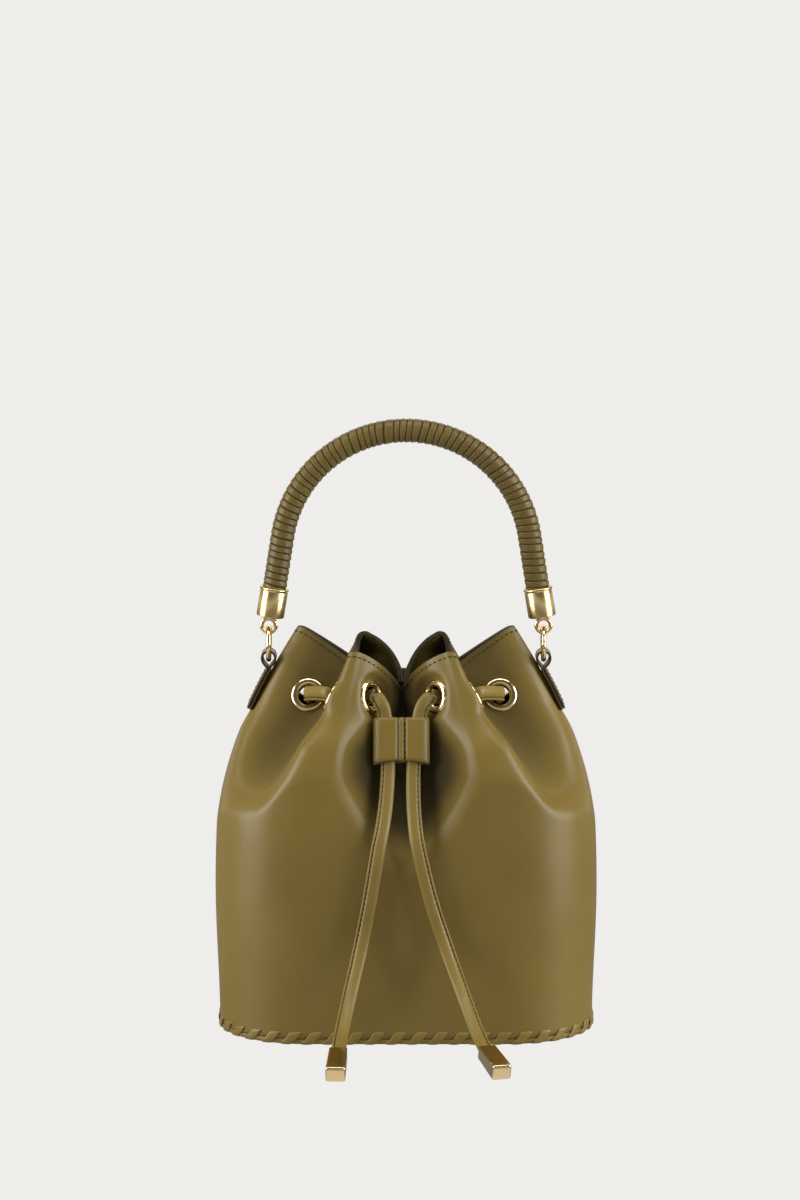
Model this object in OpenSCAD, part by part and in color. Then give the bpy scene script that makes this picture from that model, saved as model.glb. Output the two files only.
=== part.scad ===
// Drawstring bucket bag with a wrapped top handle.
// Origin: centre of the base on the surface it stands on. +X to the wearer's
// right of the front view, the front faces -Y, +Z up. Millimetres.

/* [Body] */
// Width of the base across the front
base_w = 208; // [174:1:250]
// Depth of the base from front to back
base_d = 124; // [104:1:148]
// Corner radius of the base
base_r = 50; // [42:1:51]
// Height of the two side corners of the mouth
body_h = 224; // [190:1:268]
// How much the belly bulges past the base, as a share of its size
belly_bulge = 0.014; // [0:0.002:0.03]
// Thickness of the outer leather
leather_t = 1.6; // [1.2:0.1:2.0]
// Thickness of the leather facing inside the mouth
facing_t = 1.0; // [0.8:0.1:1.4]
// Thickness of the lining cloth
lining_t = 0.8; // [0.6:0.1:1.0]

/* [Base] */
// Thickness of the leather base panel
base_t = 2.5; // [2:0.1:3.5]
// How far the middle of the base panel stands below its laced rim
base_dish = 1.3; // [1.2:0.1:2]
// Width of the raised rim that the lacing wraps
base_rim = 8; // [7:0.5:10]
// Thickness of the stiffening board
board_t = 2; // [1.5:0.5:3]
// Number of whip stitches around the base
lace_stitches = 50; // [40:2:60]
// Width of the lace
lace_w = 4.6; // [3.5:0.1:5]
// Thickness of the lace
lace_t = 1.0; // [0.8:0.1:1.1]
// Height of the lace holes above the underside
lace_h = 9.4; // [8:0.2:12]

/* [Mouth] */
// Sideways lean of the gathered mouth
mouth_lean = -2; // [-6:0.5:6]
// Half width of the mouth at its side corners
corner_x = 60; // [52:1:68]
// Sideways place of the two front folds
front_fold_x = 26; // [22:1:32]
// Sideways place of the two back folds
back_fold_x = 21; // [18:1:30]
// How far the front and back folds stand from the middle of the mouth
fold_y = 36; // [30:1:42]
// Sideways place of the four side valleys
side_valley_x = 31; // [27:1:36]
// Distance of the side valleys from the middle of the mouth
side_valley_y = 12; // [10:1:15]
// Distance of the centre valleys from the middle of the mouth
centre_valley_y = 9; // [8:0.5:12]
// Drop of the fold tips below the side corners
fold_drop = 9; // [4:1:14]
// Drop of the side valleys below the side corners
side_valley_drop = 28; // [20:1:36]
// Drop of the centre valleys below the side corners
centre_valley_drop = 34; // [26:1:42]

/* [Eyelets] */
// Outer radius of an eyelet flange
eyelet_r = 9.5; // [8:0.1:10]
// Radius of the eyelet's hole
eyelet_hole_r = 5.5; // [5:0.1:6]
// Height of the eyelet's domed flange
eyelet_dome = 1.4; // [1:0.1:2]
// Outer radius of the washer inside the bag
washer_r = 7.8; // [7.5:0.1:8]
// Vertical distance of the eyelet centres below the mouth edge
eyelet_drop = 16; // [14:0.5:18]

/* [Drawstring] */
// Width of the folded leather strap
strap_w = 8; // [6:0.5:8]
// Thickness of the folded leather strap
strap_t = 3.2; // [2.4:0.2:3.6]
// Room beside the strap in a tunnel of the slider
tunnel_side_play = 4.9; // [4.5:0.1:6]
// Room over the strap's faces in a tunnel of the slider
tunnel_face_play = 2.8; // [2.4:0.1:3.5]
// Length of the slider along the straps
slider_l = 26; // [20:1:30]
// Wall of the slider's two tunnels
slider_wall = 1.3; // [1:0.1:1.5]
// Length of a metal end cap
cap_l = 26; // [20:1:30]
// Metal beside the strap in an end cap
cap_side = 0.5; // [0.4:0.1:1.5]
// Metal over the strap's faces in an end cap
cap_face = 1.9; // [1:0.1:2.5]
// How much an end cap flares towards its closed end
cap_flare = 0.9; // [0:0.1:1.5]
// Depth of the strap's socket in an end cap
cap_socket = 9; // [6:1:12]

/* [Side tabs and rings] */
// Width of a leather side tab
tab_w = 12; // [9:0.5:12.5]
// Thickness of one layer of a side tab
tab_t = 1.3; // [1:0.1:1.5]
// Height of the tab loop's neck below the side corners
tab_neck_drop = 24.5; // [22:0.5:30]
// Height of the tab's lower end below its neck
tab_reach = 22; // [16:1:28]
// Radius of a ring to the middle of its wire
ring_r = 9; // [8.5:0.1:10]
// Radius of the ring wire
ring_wire = 1.4; // [1.2:0.1:1.5]

/* [Handle] */
// Outer radius of the wrapped handle
handle_r = 6.6; // [5.5:0.1:7.5]
// Radius of the rope core
core_r = 4.6; // [3.5:0.1:5]
// Lean of the handle's legs from upright, in degrees
leg_lean = 9; // [6:1:12]
// Length of a handle leg from the arch to the foot of its ferrule
leg_l = 46; // [38:1:56]
// Length of a ferrule
ferrule_l = 16.5; // [14:0.5:20]
// Wall of a ferrule round the handle
ferrule_wall = 1.1; // [1:0.1:2]
// Thickness of a ferrule's end
ferrule_end = 2; // [1.5:0.5:3]
// Radius of a ferrule eye to the middle of its wire
eye_r = 3.9; // [3.8:0.1:4.5]
// Radius of the wire of a ferrule eye
eye_wire = 1.2; // [1:0.1:1.3]

/* [Clearances] */
// Gap between layers that lie on each other
layer_gap = 0.1; // [0.05:0.05:0.2]
// Gap between soft parts and what they lie against
soft_gap = 0.3; // [0.2:0.05:0.5]
// Gap between linked metal rings
link_gap = 0.3; // [0.2:0.05:0.4]

/* [Hidden] */

$fn = 48;
leather = [0.45, 0.37, 0.17];
leather_dark = [0.33, 0.27, 0.11];
lining_cloth = [0.20, 0.16, 0.07];
board_grey = [0.45, 0.42, 0.38];
gold = [0.83, 0.69, 0.40];
rope_tan = [0.70, 0.62, 0.48];

// Columns run round the wall and are counted from the front centre towards
// +X; a fold lies on every sixth column, ridges and valleys in turn.
cols = 72;
fold_cols = 6;
levels = 16;
facing_from = 11;
wall_z = base_dish + base_t;
belly_top = 160;

// One fold line each: mouth x, mouth y, mouth height, height where it starts
// to draw in, how late it draws in, and how round it is.
function fold(x, y, drop, start, power, round) =
    [x + (drop > 0 ? mouth_lean : 0), y, body_h - drop, body_h * start, power, round];
folds = [
    fold(0, -centre_valley_y, centre_valley_drop, 0.43, 1.25, 0.34),
    fold(front_fold_x, -fold_y, fold_drop, 0.46, 1.7, 0.86),
    fold(side_valley_x, -side_valley_y, side_valley_drop, 0.49, 1.15, 0.36),
    fold(corner_x, 0, 0, 0.46, 1.8, 0.80),
    fold(side_valley_x, side_valley_y, side_valley_drop, 0.49, 1.15, 0.36),
    fold(back_fold_x, fold_y, fold_drop, 0.46, 1.7, 0.86),
    fold(0, centre_valley_y, centre_valley_drop, 0.43, 1.25, 0.34),
    fold(-back_fold_x, fold_y, fold_drop, 0.46, 1.7, 0.86),
    fold(-side_valley_x, side_valley_y, side_valley_drop, 0.49, 1.15, 0.36),
    fold(-corner_x, 0, 0, 0.46, 1.8, 0.80),
    fold(-side_valley_x, -side_valley_y, side_valley_drop, 0.49, 1.15, 0.36),
    fold(-front_fold_x, -fold_y, fold_drop, 0.46, 1.7, 0.86)
];

// Vector and curve helpers
function lerp(a, b, t) = a + (b - a) * t;
function ease(t) = t * t * (3 - 2 * t);
function unit(v) = v / norm(v);
function xy(v) = [v[0], v[1]];
function hermite(p0, m0, p1, m1, t) =
    (2 * t ^ 3 - 3 * t ^ 2 + 1) * p0 + (t ^ 3 - 2 * t ^ 2 + t) * m0
    + (3 * t ^ 2 - 2 * t ^ 3) * p1 + (t ^ 3 - t ^ 2) * m1;

// Base outline: a rounded rectangle walked by the length of its edge
flat_x = base_w / 2 - base_r;
flat_y = base_d / 2 - base_r;
arc_l = base_r * PI / 2;
quarter_l = flat_x + arc_l + flat_y;
function quarter(s) = let (l = s * quarter_l)
    l <= flat_x ? [l, -base_d / 2]
    : l <= flat_x + arc_l ? let (a = (l - flat_x) / base_r * 180 / PI)
        [flat_x + base_r * sin(a), -flat_y - base_r * cos(a)]
    : [base_w / 2, -flat_y + l - flat_x - arc_l];
function base_point(col) = let (
        turn = 4 * (col / cols - floor(col / cols)),
        q = floor(turn), s = turn - q,
        p = quarter(q % 2 == 0 ? s : 1 - s))
    [q < 2 ? p[0] : -p[0], q == 0 || q == 3 ? p[1] : -p[1]];
function base_tangent(col) = unit(base_point(col + 0.05) - base_point(col - 0.05));

// Mouth outline and fold values at a column
function fold_tangent(k) =
    (xy(folds[(k + 1) % 12]) - xy(folds[(k + 11) % 12])) * folds[k % 12][5];
function mouth(col) = let (
        c = (col + cols) % cols, k = floor(c / fold_cols), t = c / fold_cols - k,
        a = folds[k], b = folds[(k + 1) % 12], e = ease(t),
        p = hermite(xy(a), fold_tangent(k), xy(b), fold_tangent(k + 1), t))
    [p[0], p[1], lerp(a[2], b[2], e), lerp(a[3], b[3], e), lerp(a[4], b[4], e)];

// Outer face of the wall at a column and a height
function wall_at(col, z) = let (
        m = mouth(col), s = max(0, (z - m[3]) / (m[2] - m[3])), g = pow(s, m[4]),
        belly = 1 + belly_bulge * pow(sin(180 * min(1, z / belly_top)), 2),
        p = lerp(base_point(col) * belly, xy(m), g))
    [p[0], p[1], z];
function raw_wall(col, t) = wall_at(col, lerp(wall_z, mouth(col)[2], t));
function normal_of(a, b, c, d) = unit(cross(b - a, d - c));
function raw_normal(col, t) =
    normal_of(raw_wall(col - 0.5, t), raw_wall(col + 0.5, t),
        raw_wall(col, t - 0.02), raw_wall(col, t + 0.02));

// Eyelets: one on every flank between two folds. The leather lies flat
// under each of them.
front_cols = [58, 63, 68.5, 3.5, 9, 14];
back_cols = [22, 27, 32.5, 39.5, 45, 50];
function eyelet_t(col) = 1 - eyelet_drop / (mouth(col)[2] - wall_z);
eyelet_seats = [for (c = concat(front_cols, back_cols))
    [raw_wall(c, eyelet_t(c)), raw_normal(c, eyelet_t(c))]];
flat_r = eyelet_r;
flat_fade = 5;
function flattened(p, k = 0) = k == len(eyelet_seats) ? p : let (
        c = eyelet_seats[k][0], n = eyelet_seats[k][1], d = norm(p - c),
        w = d < flat_r ? 1 : d > flat_r + flat_fade ? 0 : ease(1 - (d - flat_r) / flat_fade))
    flattened(p - n * ((p - c) * n) * w, k + 1);
function wall(col, t) = t < 0.7 ? raw_wall(col, t) : flattened(raw_wall(col, t));
function wall_normal(col, t) =
    normal_of(wall(col - 0.5, t), wall(col + 0.5, t), wall(col, t - 0.02), wall(col, t + 0.02));
function wall_inset(col, t, d) = wall(col, t) - wall_normal(col, min(t, 0.985)) * d;
function level(j) = 1 - pow(1 - j / levels, 1.3);

// Closed solid between two grids of points that share rows and columns
function flat(rows) = [for (r = rows) each r];
function grid_faces(n, m, wrap, at, back) = [
    for (j = [0 : n - 2], i = [0 : m - (wrap ? 1 : 2)]) let (
        a = at + j * m + i, b = at + j * m + (i + 1) % m, c = b + m, d = a + m)
    each back ? [[a, b, c], [a, c, d]] : [[a, c, b], [a, d, c]]];
function strip_faces(list_a, list_b) = [
    for (i = [0 : len(list_a) - 2]) each [
        [list_a[i], list_a[i + 1], list_b[i + 1]], [list_a[i], list_b[i + 1], list_b[i]]]];
function fan_faces(ring, centre, back) = [
    for (i = [0 : len(ring) - 2]) back ? [ring[i + 1], ring[i], centre] : [ring[i], ring[i + 1], centre]];
module slab(outer, inner, wrap, floor_cap = false) {
    n = len(outer);
    m = len(outer[0]);
    k = n * m;
    low = wrap ? [for (i = [0 : m]) i % m] : [for (i = [0 : m - 1]) i];
    high = [for (i = low) i + (n - 1) * m];
    in_low = [for (i = low) i + k];
    in_high = [for (i = high) i + k];
    left = [for (j = [0 : n - 1]) j * m];
    right = [for (j = left) j + m - 1];
    in_left = [for (i = left) i + k];
    in_right = [for (i = right) i + k];
    centres = floor_cap ? [[0, 0, outer[0][0][2]], [0, 0, inner[0][0][2]]] : [];
    polyhedron(concat(flat(outer), flat(inner), centres), concat(
        grid_faces(n, m, wrap, 0, false), grid_faces(n, m, wrap, k, true),
        floor_cap ? concat(fan_faces(low, 2 * k, false), fan_faces(in_low, 2 * k + 1, true))
            : strip_faces(low, in_low),
        strip_faces(in_high, high),
        wrap ? [] : strip_faces(in_left, left),
        wrap ? [] : strip_faces(right, in_right)), convexity = 8);
}

// Strap swept along a path; each place gives its middle, heading and face
strap_section = [[1, -0.4], [1, 0.4], [0.78, 1], [-0.78, 1], [-1, 0.4], [-1, -0.4], [-0.78, -1], [0.78, -1]];
function strap_ring(p, heading, face) = let (
        n = unit(face - heading * (face * heading)), b = cross(heading, n))
    [for (c = strap_section) p + b * c[0] * strap_w / 2 + n * c[1] * strap_t / 2];
function heading_at(path, i) =
    unit(path[min(i + 1, len(path) - 1)] - path[max(i - 1, 0)]);
module swept(rings) {
    n = len(rings);
    m = len(rings[0]);
    polyhedron(flat(rings), concat(
        grid_faces(n, m, true, 0, false),
        [[for (i = [0 : m - 1]) i], [for (i = [m - 1 : -1 : 0]) (n - 1) * m + i]]), convexity = 8);
}
// Smooth path through a list of points, each stretch cut into equal steps
function smooth(pts, steps) = [
    for (k = [0 : len(pts) - 2], j = [0 : steps - 1])
        let (a = pts[max(k - 1, 0)], b = pts[k], c = pts[k + 1], d = pts[min(k + 2, len(pts) - 1)])
        hermite(b, (c - a) / 2, c, (d - b) / 2, j / steps),
    pts[len(pts) - 1]];

// Turn a shape's +Z to point along a direction, at a place
module placed(p, dir) {
    translate(p) rotate([0, acos(dir[2]), atan2(dir[1], dir[0])]) children();
}

function eyelet_p(col) = raw_wall(col, eyelet_t(col));
function eyelet_n(col) = raw_normal(col, eyelet_t(col));
barrel_r = eyelet_hole_r + 0.8;
stack_t = leather_t + layer_gap + facing_t;
outer_seat = -0.5;
inner_seat = 0.5 - stack_t;
washer_t = 0.8;
washer_top = inner_seat - 2 * layer_gap;
barrel_end = washer_top - washer_t - layer_gap;

module eyelet_cuts(list, seat_r, seat_z) {
    for (col = list) placed(eyelet_p(col), eyelet_n(col)) {
        translate([0, 0, -stack_t - 5]) cylinder(r = barrel_r + layer_gap, h = stack_t + 10);
        translate([0, 0, seat_z]) cylinder(r = seat_r + layer_gap, h = 5);
    }
}
module eyelet() {
    low = outer_seat + layer_gap;
    rotate_extrude() polygon([
        [eyelet_hole_r, barrel_end - 0.5], [barrel_r + 0.7, barrel_end - 0.5], [barrel_r + 0.7, barrel_end],
        [barrel_r, barrel_end], [barrel_r, low], [eyelet_r, low], [eyelet_r, low + 0.5],
        [eyelet_r - 0.9, low + eyelet_dome - 0.2], [eyelet_r - 2, low + eyelet_dome],
        [eyelet_hole_r + 0.9, low + eyelet_dome], [eyelet_hole_r + 0.2, low + eyelet_dome - 0.4],
        [eyelet_hole_r, low + eyelet_dome - 1]]);
}
module washer() {
    translate([0, 0, washer_top - washer_t]) rotate_extrude()
        translate([barrel_r + layer_gap, 0]) square([washer_r - barrel_r - layer_gap, washer_t]);
}

// Wall pieces. The side seams lie on the two side corners.
right_col = 18;
left_col = 54;
module panel(first, last) {
    ts = [for (j = [0 : levels]) level(j)];
    slab([for (t = ts) [for (i = [first : last]) wall(i, t)]],
        [for (t = ts) [for (i = [first : last]) wall_inset(i, t, leather_t)]], false);
}
module front_panel() {
    color(leather) difference() {
        panel(left_col - cols, right_col);
        eyelet_cuts(front_cols, eyelet_r, outer_seat);
    }
}
module back_panel() {
    color(leather) difference() {
        panel(right_col, left_col);
        eyelet_cuts(back_cols, eyelet_r, outer_seat);
    }
}
facing_in = leather_t + layer_gap;
module mouth_facing() {
    ts = [for (j = [facing_from : levels]) level(j)];
    color(leather_dark) difference() {
        slab([for (t = ts) [for (i = [0 : cols - 1]) wall_inset(i, t, facing_in)]],
            [for (t = ts) [for (i = [0 : cols - 1]) wall_inset(i, t, facing_in + facing_t)]], true);
        eyelet_cuts(concat(front_cols, back_cols), washer_r, inner_seat - 5);
    }
}

// Lining: a cloth bag from the board up to the lower edge of the facing
lining_z = wall_z + board_t + layer_gap;
lining_in = leather_t + 2 * soft_gap;
function wall_ring(t, d) = [for (i = [0 : cols - 1]) wall_inset(i, t, d)];
function floor_ring(t, d, z) = [for (p = wall_ring(t, d)) [p[0], p[1], z]];
module lining() {
    low = (lining_z + lining_t - wall_z) / (body_h - wall_z);
    ts = [for (j = [1 : facing_from]) level(j) - (j == facing_from ? 0.01 : 0)];
    color(lining_cloth) slab(
        concat([floor_ring(low, lining_in, lining_z)], [for (t = ts) wall_ring(t, lining_in)]),
        concat([floor_ring(low, lining_in + lining_t, lining_z + lining_t)],
            [for (t = ts) wall_ring(t, lining_in + lining_t)]),
        true, floor_cap = true);
}

// Base: laced rim above a dished middle, with the board on top
module rounded(w, d, r) {
    square([w - 2 * r, d], center = true);
    square([w, d - 2 * r], center = true);
    for (x = [-1, 1], y = [-1, 1]) translate([x * (w / 2 - r), y * (d / 2 - r)]) circle(r, $fn = 96);
}
module base_panel() {
    color(leather) {
        translate([0, 0, base_dish]) linear_extrude(base_t) rounded(base_w, base_d, base_r);
        linear_extrude(base_dish + 1)
            rounded(base_w - 2 * base_rim, base_d - 2 * base_rim, base_r - base_rim);
    }
}
module base_board() {
    inset = leather_t + soft_gap;
    color(board_grey) translate([0, 0, wall_z])
        linear_extrude(board_t) rounded(base_w - 2 * inset, base_d - 2 * inset, base_r - inset);
}

// Lacing: each stitch slants down the wall and turns under the rim
lace_pitch = cols / lace_stitches;
lace_slant = 0.26;
lace_under = 5.5;
function lace_place(col, out, z) = let (p = base_point(col), t = base_tangent(col))
    [p[0] + t[1] * out, p[1] - t[0] * out, z];
function lace_side(col) = let (t = base_tangent(col)) [t[0], t[1], 0];
module lace_stitch(col) {
    out = layer_gap + lace_t / 2 + 0.3;
    low = base_dish - layer_gap - lace_t;
    hw = lace_w / 2;
    top = lace_place(col + lace_slant, out, lace_h);
    foot = lace_place(col - lace_slant, out, 0);
    under = lace_place(col - 1.4 * lace_slant, -lace_under, 0);
    side = lace_side(col);
    t = base_tangent(col);
    n = [t[1], -t[0], 0] * lace_t / 2;
    up = [0, 0, lace_t];
    swept([
        [top - n - side * hw, top + n - side * hw, top + n + side * hw, top - n + side * hw],
        [foot - n - side * hw + up + [0, 0, low], foot + n - side * hw + [0, 0, low],
            foot + n + side * hw + [0, 0, low], foot - n + side * hw + up + [0, 0, low]],
        [under - side * hw + up + [0, 0, low], under - side * hw + [0, 0, low],
            under + side * hw + [0, 0, low], under + side * hw + up + [0, 0, low]]]);
}
module base_lacing() {
    color(leather_dark) for (k = [0 : lace_stitches - 1]) lace_stitch((k + 0.5) * lace_pitch);
}

// Drawstring: the laced stretch follows the eyelets round the mouth
eyelet_order = [3.5, 9, 14, 22, 27, 32.5, 39.5, 45, 50, 58, 63, 68.5];
strap_mid = -0.5;
turn_out = 4.5;
turn_in = -stack_t - 4.0;
function through(col, d) = eyelet_p(col) + eyelet_n(col) * d;
loop_route = [
    for (k = [0 : 11]) let (c = eyelet_order[k], goes_in = k % 2 == 0) each [
        if (k > 0) through(c, goes_in ? turn_out : turn_in),
        through(c, strap_mid),
        if (k < 11) through(c, goes_in ? turn_in : turn_out)]];
module drawstring_loop() {
    path = smooth(loop_route, 2);
    last = len(path) - 1;
    color(leather) swept([for (i = [0 : last]) let (
            h = i == 0 ? -eyelet_n(eyelet_order[0]) : i == last ? eyelet_n(eyelet_order[11])
                : heading_at(path, i))
        strap_ring(path[i], h, cross(h, [0, 0, 1]))]);
}

module washers(list) { for (c = list) placed(eyelet_p(c), eyelet_n(c)) washer(); }
module eyelets(list) { for (c = list) placed(eyelet_p(c), eyelet_n(c)) eyelet(); }

// Free ends of the drawstring: from the two front eyelets through the slider,
// over the belly and forward on to the floor. Points chosen by hand.
tail_left_route = [
    [-18.9, -33.6, 189.6], [-16.9, -35.2, 190.1], [-13.8, -38.4, 186.5], [-11.8, -39.5, 180.0],
    [-10.4, -44.3, 166.0],
    [-10.0, -49.5, 152.0], [-11.0, -57.0, 136.0], [-13.0, -63.5, 122.0], [-15.5, -67.0, 110.0],
    [-20.0, -68.5, 83.0], [-25.0, -70.0, 57.0], [-31.0, -84.0, 33.0], [-35.0, -104.0, 18.0],
    [-36.4, -122.0, 11.4]];
tail_right_route = [
    [15.6, -33.8, 189.6], [13.8, -35.3, 190.0], [9.8, -38.4, 186.5], [7.4, -39.5, 180.0], [5.4, -44.3, 166.0],
    [4.0, -49.5, 152.0], [4.0, -57.0, 136.0], [5.0, -63.5, 122.0], [7.0, -67.0, 110.0],
    [13.5, -68.5, 83.0], [22.0, -70.0, 57.0], [31.5, -84.0, 33.0], [38.5, -104.0, 18.0],
    [43.0, -120.0, 11.8]];
tail_steps = 2;
cap_w = strap_w + 2 * (soft_gap + cap_side);
cap_t = strap_t + 2 * (soft_gap + cap_face);
cap_tilt = 12;
cap_left_yaw = -3;
cap_right_yaw = 18;
function cap_heading(yaw) = [sin(yaw) * cos(cap_tilt), -cos(yaw) * cos(cap_tilt), -sin(cap_tilt)];
function tail_face(f, h) = f < 0.12 ? lerp(-cross(h, [0, 0, 1]) * sign(h[0] + 0.001), [0, -1, 0], f / 0.12)
    : f < 0.7 ? [0, -1, 0] : f < 0.85 ? lerp([0, -1, 0], [0, 0, 1], (f - 0.7) / 0.15) : [0, 0, 1];
module tail(route, yaw) {
    h_end = cap_heading(yaw);
    end = route[len(route) - 1];
    path = concat(smooth(route, tail_steps), [end + h_end * (cap_socket - soft_gap)]);
    n = len(path) - 1;
    h_start = unit(route[1] - route[0]);
    color(leather) swept([for (i = [0 : n]) let (
            h = i == 0 ? h_start : i >= n - 1 ? h_end : heading_at(path, i))
        strap_ring(path[i], h, tail_face(i / n, h))]);
}
module end_cap(route, yaw) {
    translate(route[len(route) - 1]) rotate([0, 0, yaw]) rotate([cap_tilt, 0, 0]) rotate([90, 0, 0])
        color(gold) difference() {
            hull() {
                linear_extrude(0.1) rounded_cap(cap_w, cap_t);
                translate([0, 0, cap_l - 0.9]) linear_extrude(0.1)
                    rounded_cap(cap_w + cap_flare, cap_t + cap_flare);
                translate([0, 0, cap_l - 0.1]) linear_extrude(0.1)
                    rounded_cap(cap_w + cap_flare - 1.2, cap_t + cap_flare - 1.2);
            }
            translate([0, 0, -1]) linear_extrude(cap_socket + 1)
                square([strap_w + 2 * soft_gap, strap_t + 2 * soft_gap], center = true);
        }
}
module rounded_cap(w, d) {
    square([w - 2, d], center = true);
    square([w, d - 2], center = true);
    for (x = [-1, 1], y = [-1, 1]) translate([x * (w / 2 - 1), y * (d / 2 - 1)]) circle(1, $fn = 16);
}

// Slider: one strip stitched along its middle into two tunnels
slider_w = 2 * (strap_w + tunnel_side_play + 2 * slider_wall);
slider_t = strap_t + tunnel_face_play + 2 * slider_wall;
slider_z = body_h - 57.5;
slider_x = wall_at(0, slider_z)[0] - 1.2;
slider_y = wall_at(0, slider_z)[1] - 19.14;
slider_tilt = 20;
module tunnel(w, d) {
    square([w - d, d], center = true);
    for (x = [-1, 1]) translate([x * (w - d) / 2, 0]) circle(d = d);
}
module slider() {
    half_w = slider_w / 2;
    color(leather) translate([slider_x, slider_y, slider_z]) rotate([-slider_tilt, 0, 0])
        translate([0, 0, -slider_l / 2]) linear_extrude(slider_l) difference() {
            union() {
                for (x = [-1, 1]) translate([x * half_w / 2, 0]) tunnel(half_w, slider_t);
                square([3, 2 * slider_wall], center = true);
            }
            for (x = [-1, 1]) translate([x * half_w / 2, 0])
                tunnel(half_w - 2 * slider_wall, slider_t - 2 * slider_wall);
        }
}

// Side tabs: a strap folded round the ring, both layers lying on the wall
neck_z = body_h - tab_neck_drop;
function corner_wall_x(z) = wall_at(right_col, z)[0];
ring_x = corner_wall_x(neck_z) + soft_gap + tab_t;
ring_slope = acos(tab_w / 2 / ring_r);
ring_rise = ring_r * (1 - sin(ring_slope));
loop_above = ring_rise + ring_wire / sin(ring_slope) + link_gap;
loop_below = ring_wire + link_gap;
loop_in_r = (loop_above + loop_below) / 2;
loop_z = neck_z + loop_in_r + tab_t + 2.6;
ring_z = loop_z - (loop_above - loop_below) / 2 + ring_r;
module side_tab(side) {
    loop_r = loop_in_r + tab_t;
    bottom_z = neck_z - tab_reach;
    zs = [for (k = [0 : 6]) lerp(neck_z, bottom_z, k / 6)];
    inner = [for (z = zs) [corner_wall_x(z) + soft_gap, z]];
    outer = [for (k = [6 : -1 : 0]) [corner_wall_x(zs[k]) + soft_gap + 2 * tab_t, zs[k] + 0.8]];
    color(leather_dark) scale([side, 1, 1]) rotate([90, 0, 0]) translate([0, 0, -tab_w / 2])
        linear_extrude(tab_w) difference() {
            union() {
                translate([ring_x, loop_z]) circle(loop_r);
                polygon(concat(
                    [[ring_x + loop_r * 0.93, loop_z - loop_r * 0.36], [ring_x, loop_z],
                        [ring_x - loop_r * 0.93, loop_z - loop_r * 0.36]], inner, outer));
            }
            translate([ring_x, loop_z]) circle(loop_in_r);
            polygon([[ring_x - loop_in_r * 0.93, loop_z - loop_in_r * 0.36], [ring_x, loop_z],
                [ring_x + loop_in_r * 0.93, loop_z - loop_in_r * 0.36], [ring_x, neck_z + 1.6]]);
        }
}
module torus(r, wire) {
    rotate_extrude() translate([r, 0]) circle(wire);
}
module ring(side) {
    color(gold) translate([side * ring_x, 0, ring_z]) rotate([0, 90, 0]) torus(ring_r, ring_wire);
}

// Handle: an arch with two leaning legs, hung on the rings by two eyes
eye_z = ring_z + ring_r + eye_r - eye_wire - ring_wire - link_gap;
ferrule_r = handle_r + ferrule_wall;
leg_up = [-sin(leg_lean), cos(leg_lean)];
foot = [ring_x, eye_z] + leg_up * (eye_r + eye_wire + layer_gap / 2);
leg_top = foot + leg_up * leg_l;
arch_r = leg_top[0] / cos(leg_lean);
arch_z = leg_top[1] - arch_r * sin(leg_lean);
shank_r = 1.5;
shank_head = 1.3;
wrap_start = ferrule_end + shank_head + 2 * layer_gap;
module on_leg(side, along) {
    p = foot + leg_up * along;
    translate([side * p[0], 0, p[1]]) rotate([0, -side * leg_lean, 0]) children();
}
module ferrule_eye(side) {
    color(gold) {
        translate([side * ring_x, 0, eye_z]) rotate([90, 0, 0]) torus(eye_r, eye_wire);
        on_leg(side, -eye_wire - layer_gap) cylinder(r = shank_r, h = ferrule_end + eye_wire + 3 * layer_gap);
        on_leg(side, ferrule_end + layer_gap) cylinder(r = shank_r + 1.2, h = shank_head);
    }
}
module ferrule(side) {
    color(gold) on_leg(side, 0) difference() {
        cylinder(r = ferrule_r, h = ferrule_l);
        translate([0, 0, -1]) cylinder(r = shank_r + layer_gap, h = ferrule_end + 2);
        translate([0, 0, ferrule_end]) cylinder(r = handle_r + layer_gap, h = ferrule_l);
    }
}
leg_steps = 3;
arch_steps = 26;
handle_path = [
    for (k = [0 : leg_steps - 1]) let (p = foot + leg_up * lerp(wrap_start, leg_l, k / leg_steps))
        [p[0], 0, p[1]],
    for (k = [0 : arch_steps]) let (a = lerp(leg_lean, 180 - leg_lean, k / arch_steps))
        [arch_r * cos(a), 0, arch_z + arch_r * sin(a)],
    for (k = [leg_steps - 1 : -1 : 0]) let (p = foot + leg_up * lerp(wrap_start, leg_l, k / leg_steps))
        [-p[0], 0, p[1]]];
function round_ring(i, r, sides) = let (b = cross(heading_at(handle_path, i), [0, 1, 0]))
    [for (k = [0 : sides - 1]) let (a = 360 * k / sides)
        handle_path[i] + r * (cos(a) * [0, 1, 0] + sin(a) * b)];
function round_rings(r, sides) = [for (i = [0 : len(handle_path) - 1]) round_ring(i, r, sides)];
module handle_core() { color(rope_tan) swept(round_rings(core_r, 12)); }
module handle_wrap() {
    color(leather) slab(round_rings(handle_r, 18), round_rings(core_r + layer_gap, 18), true);
}

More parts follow.
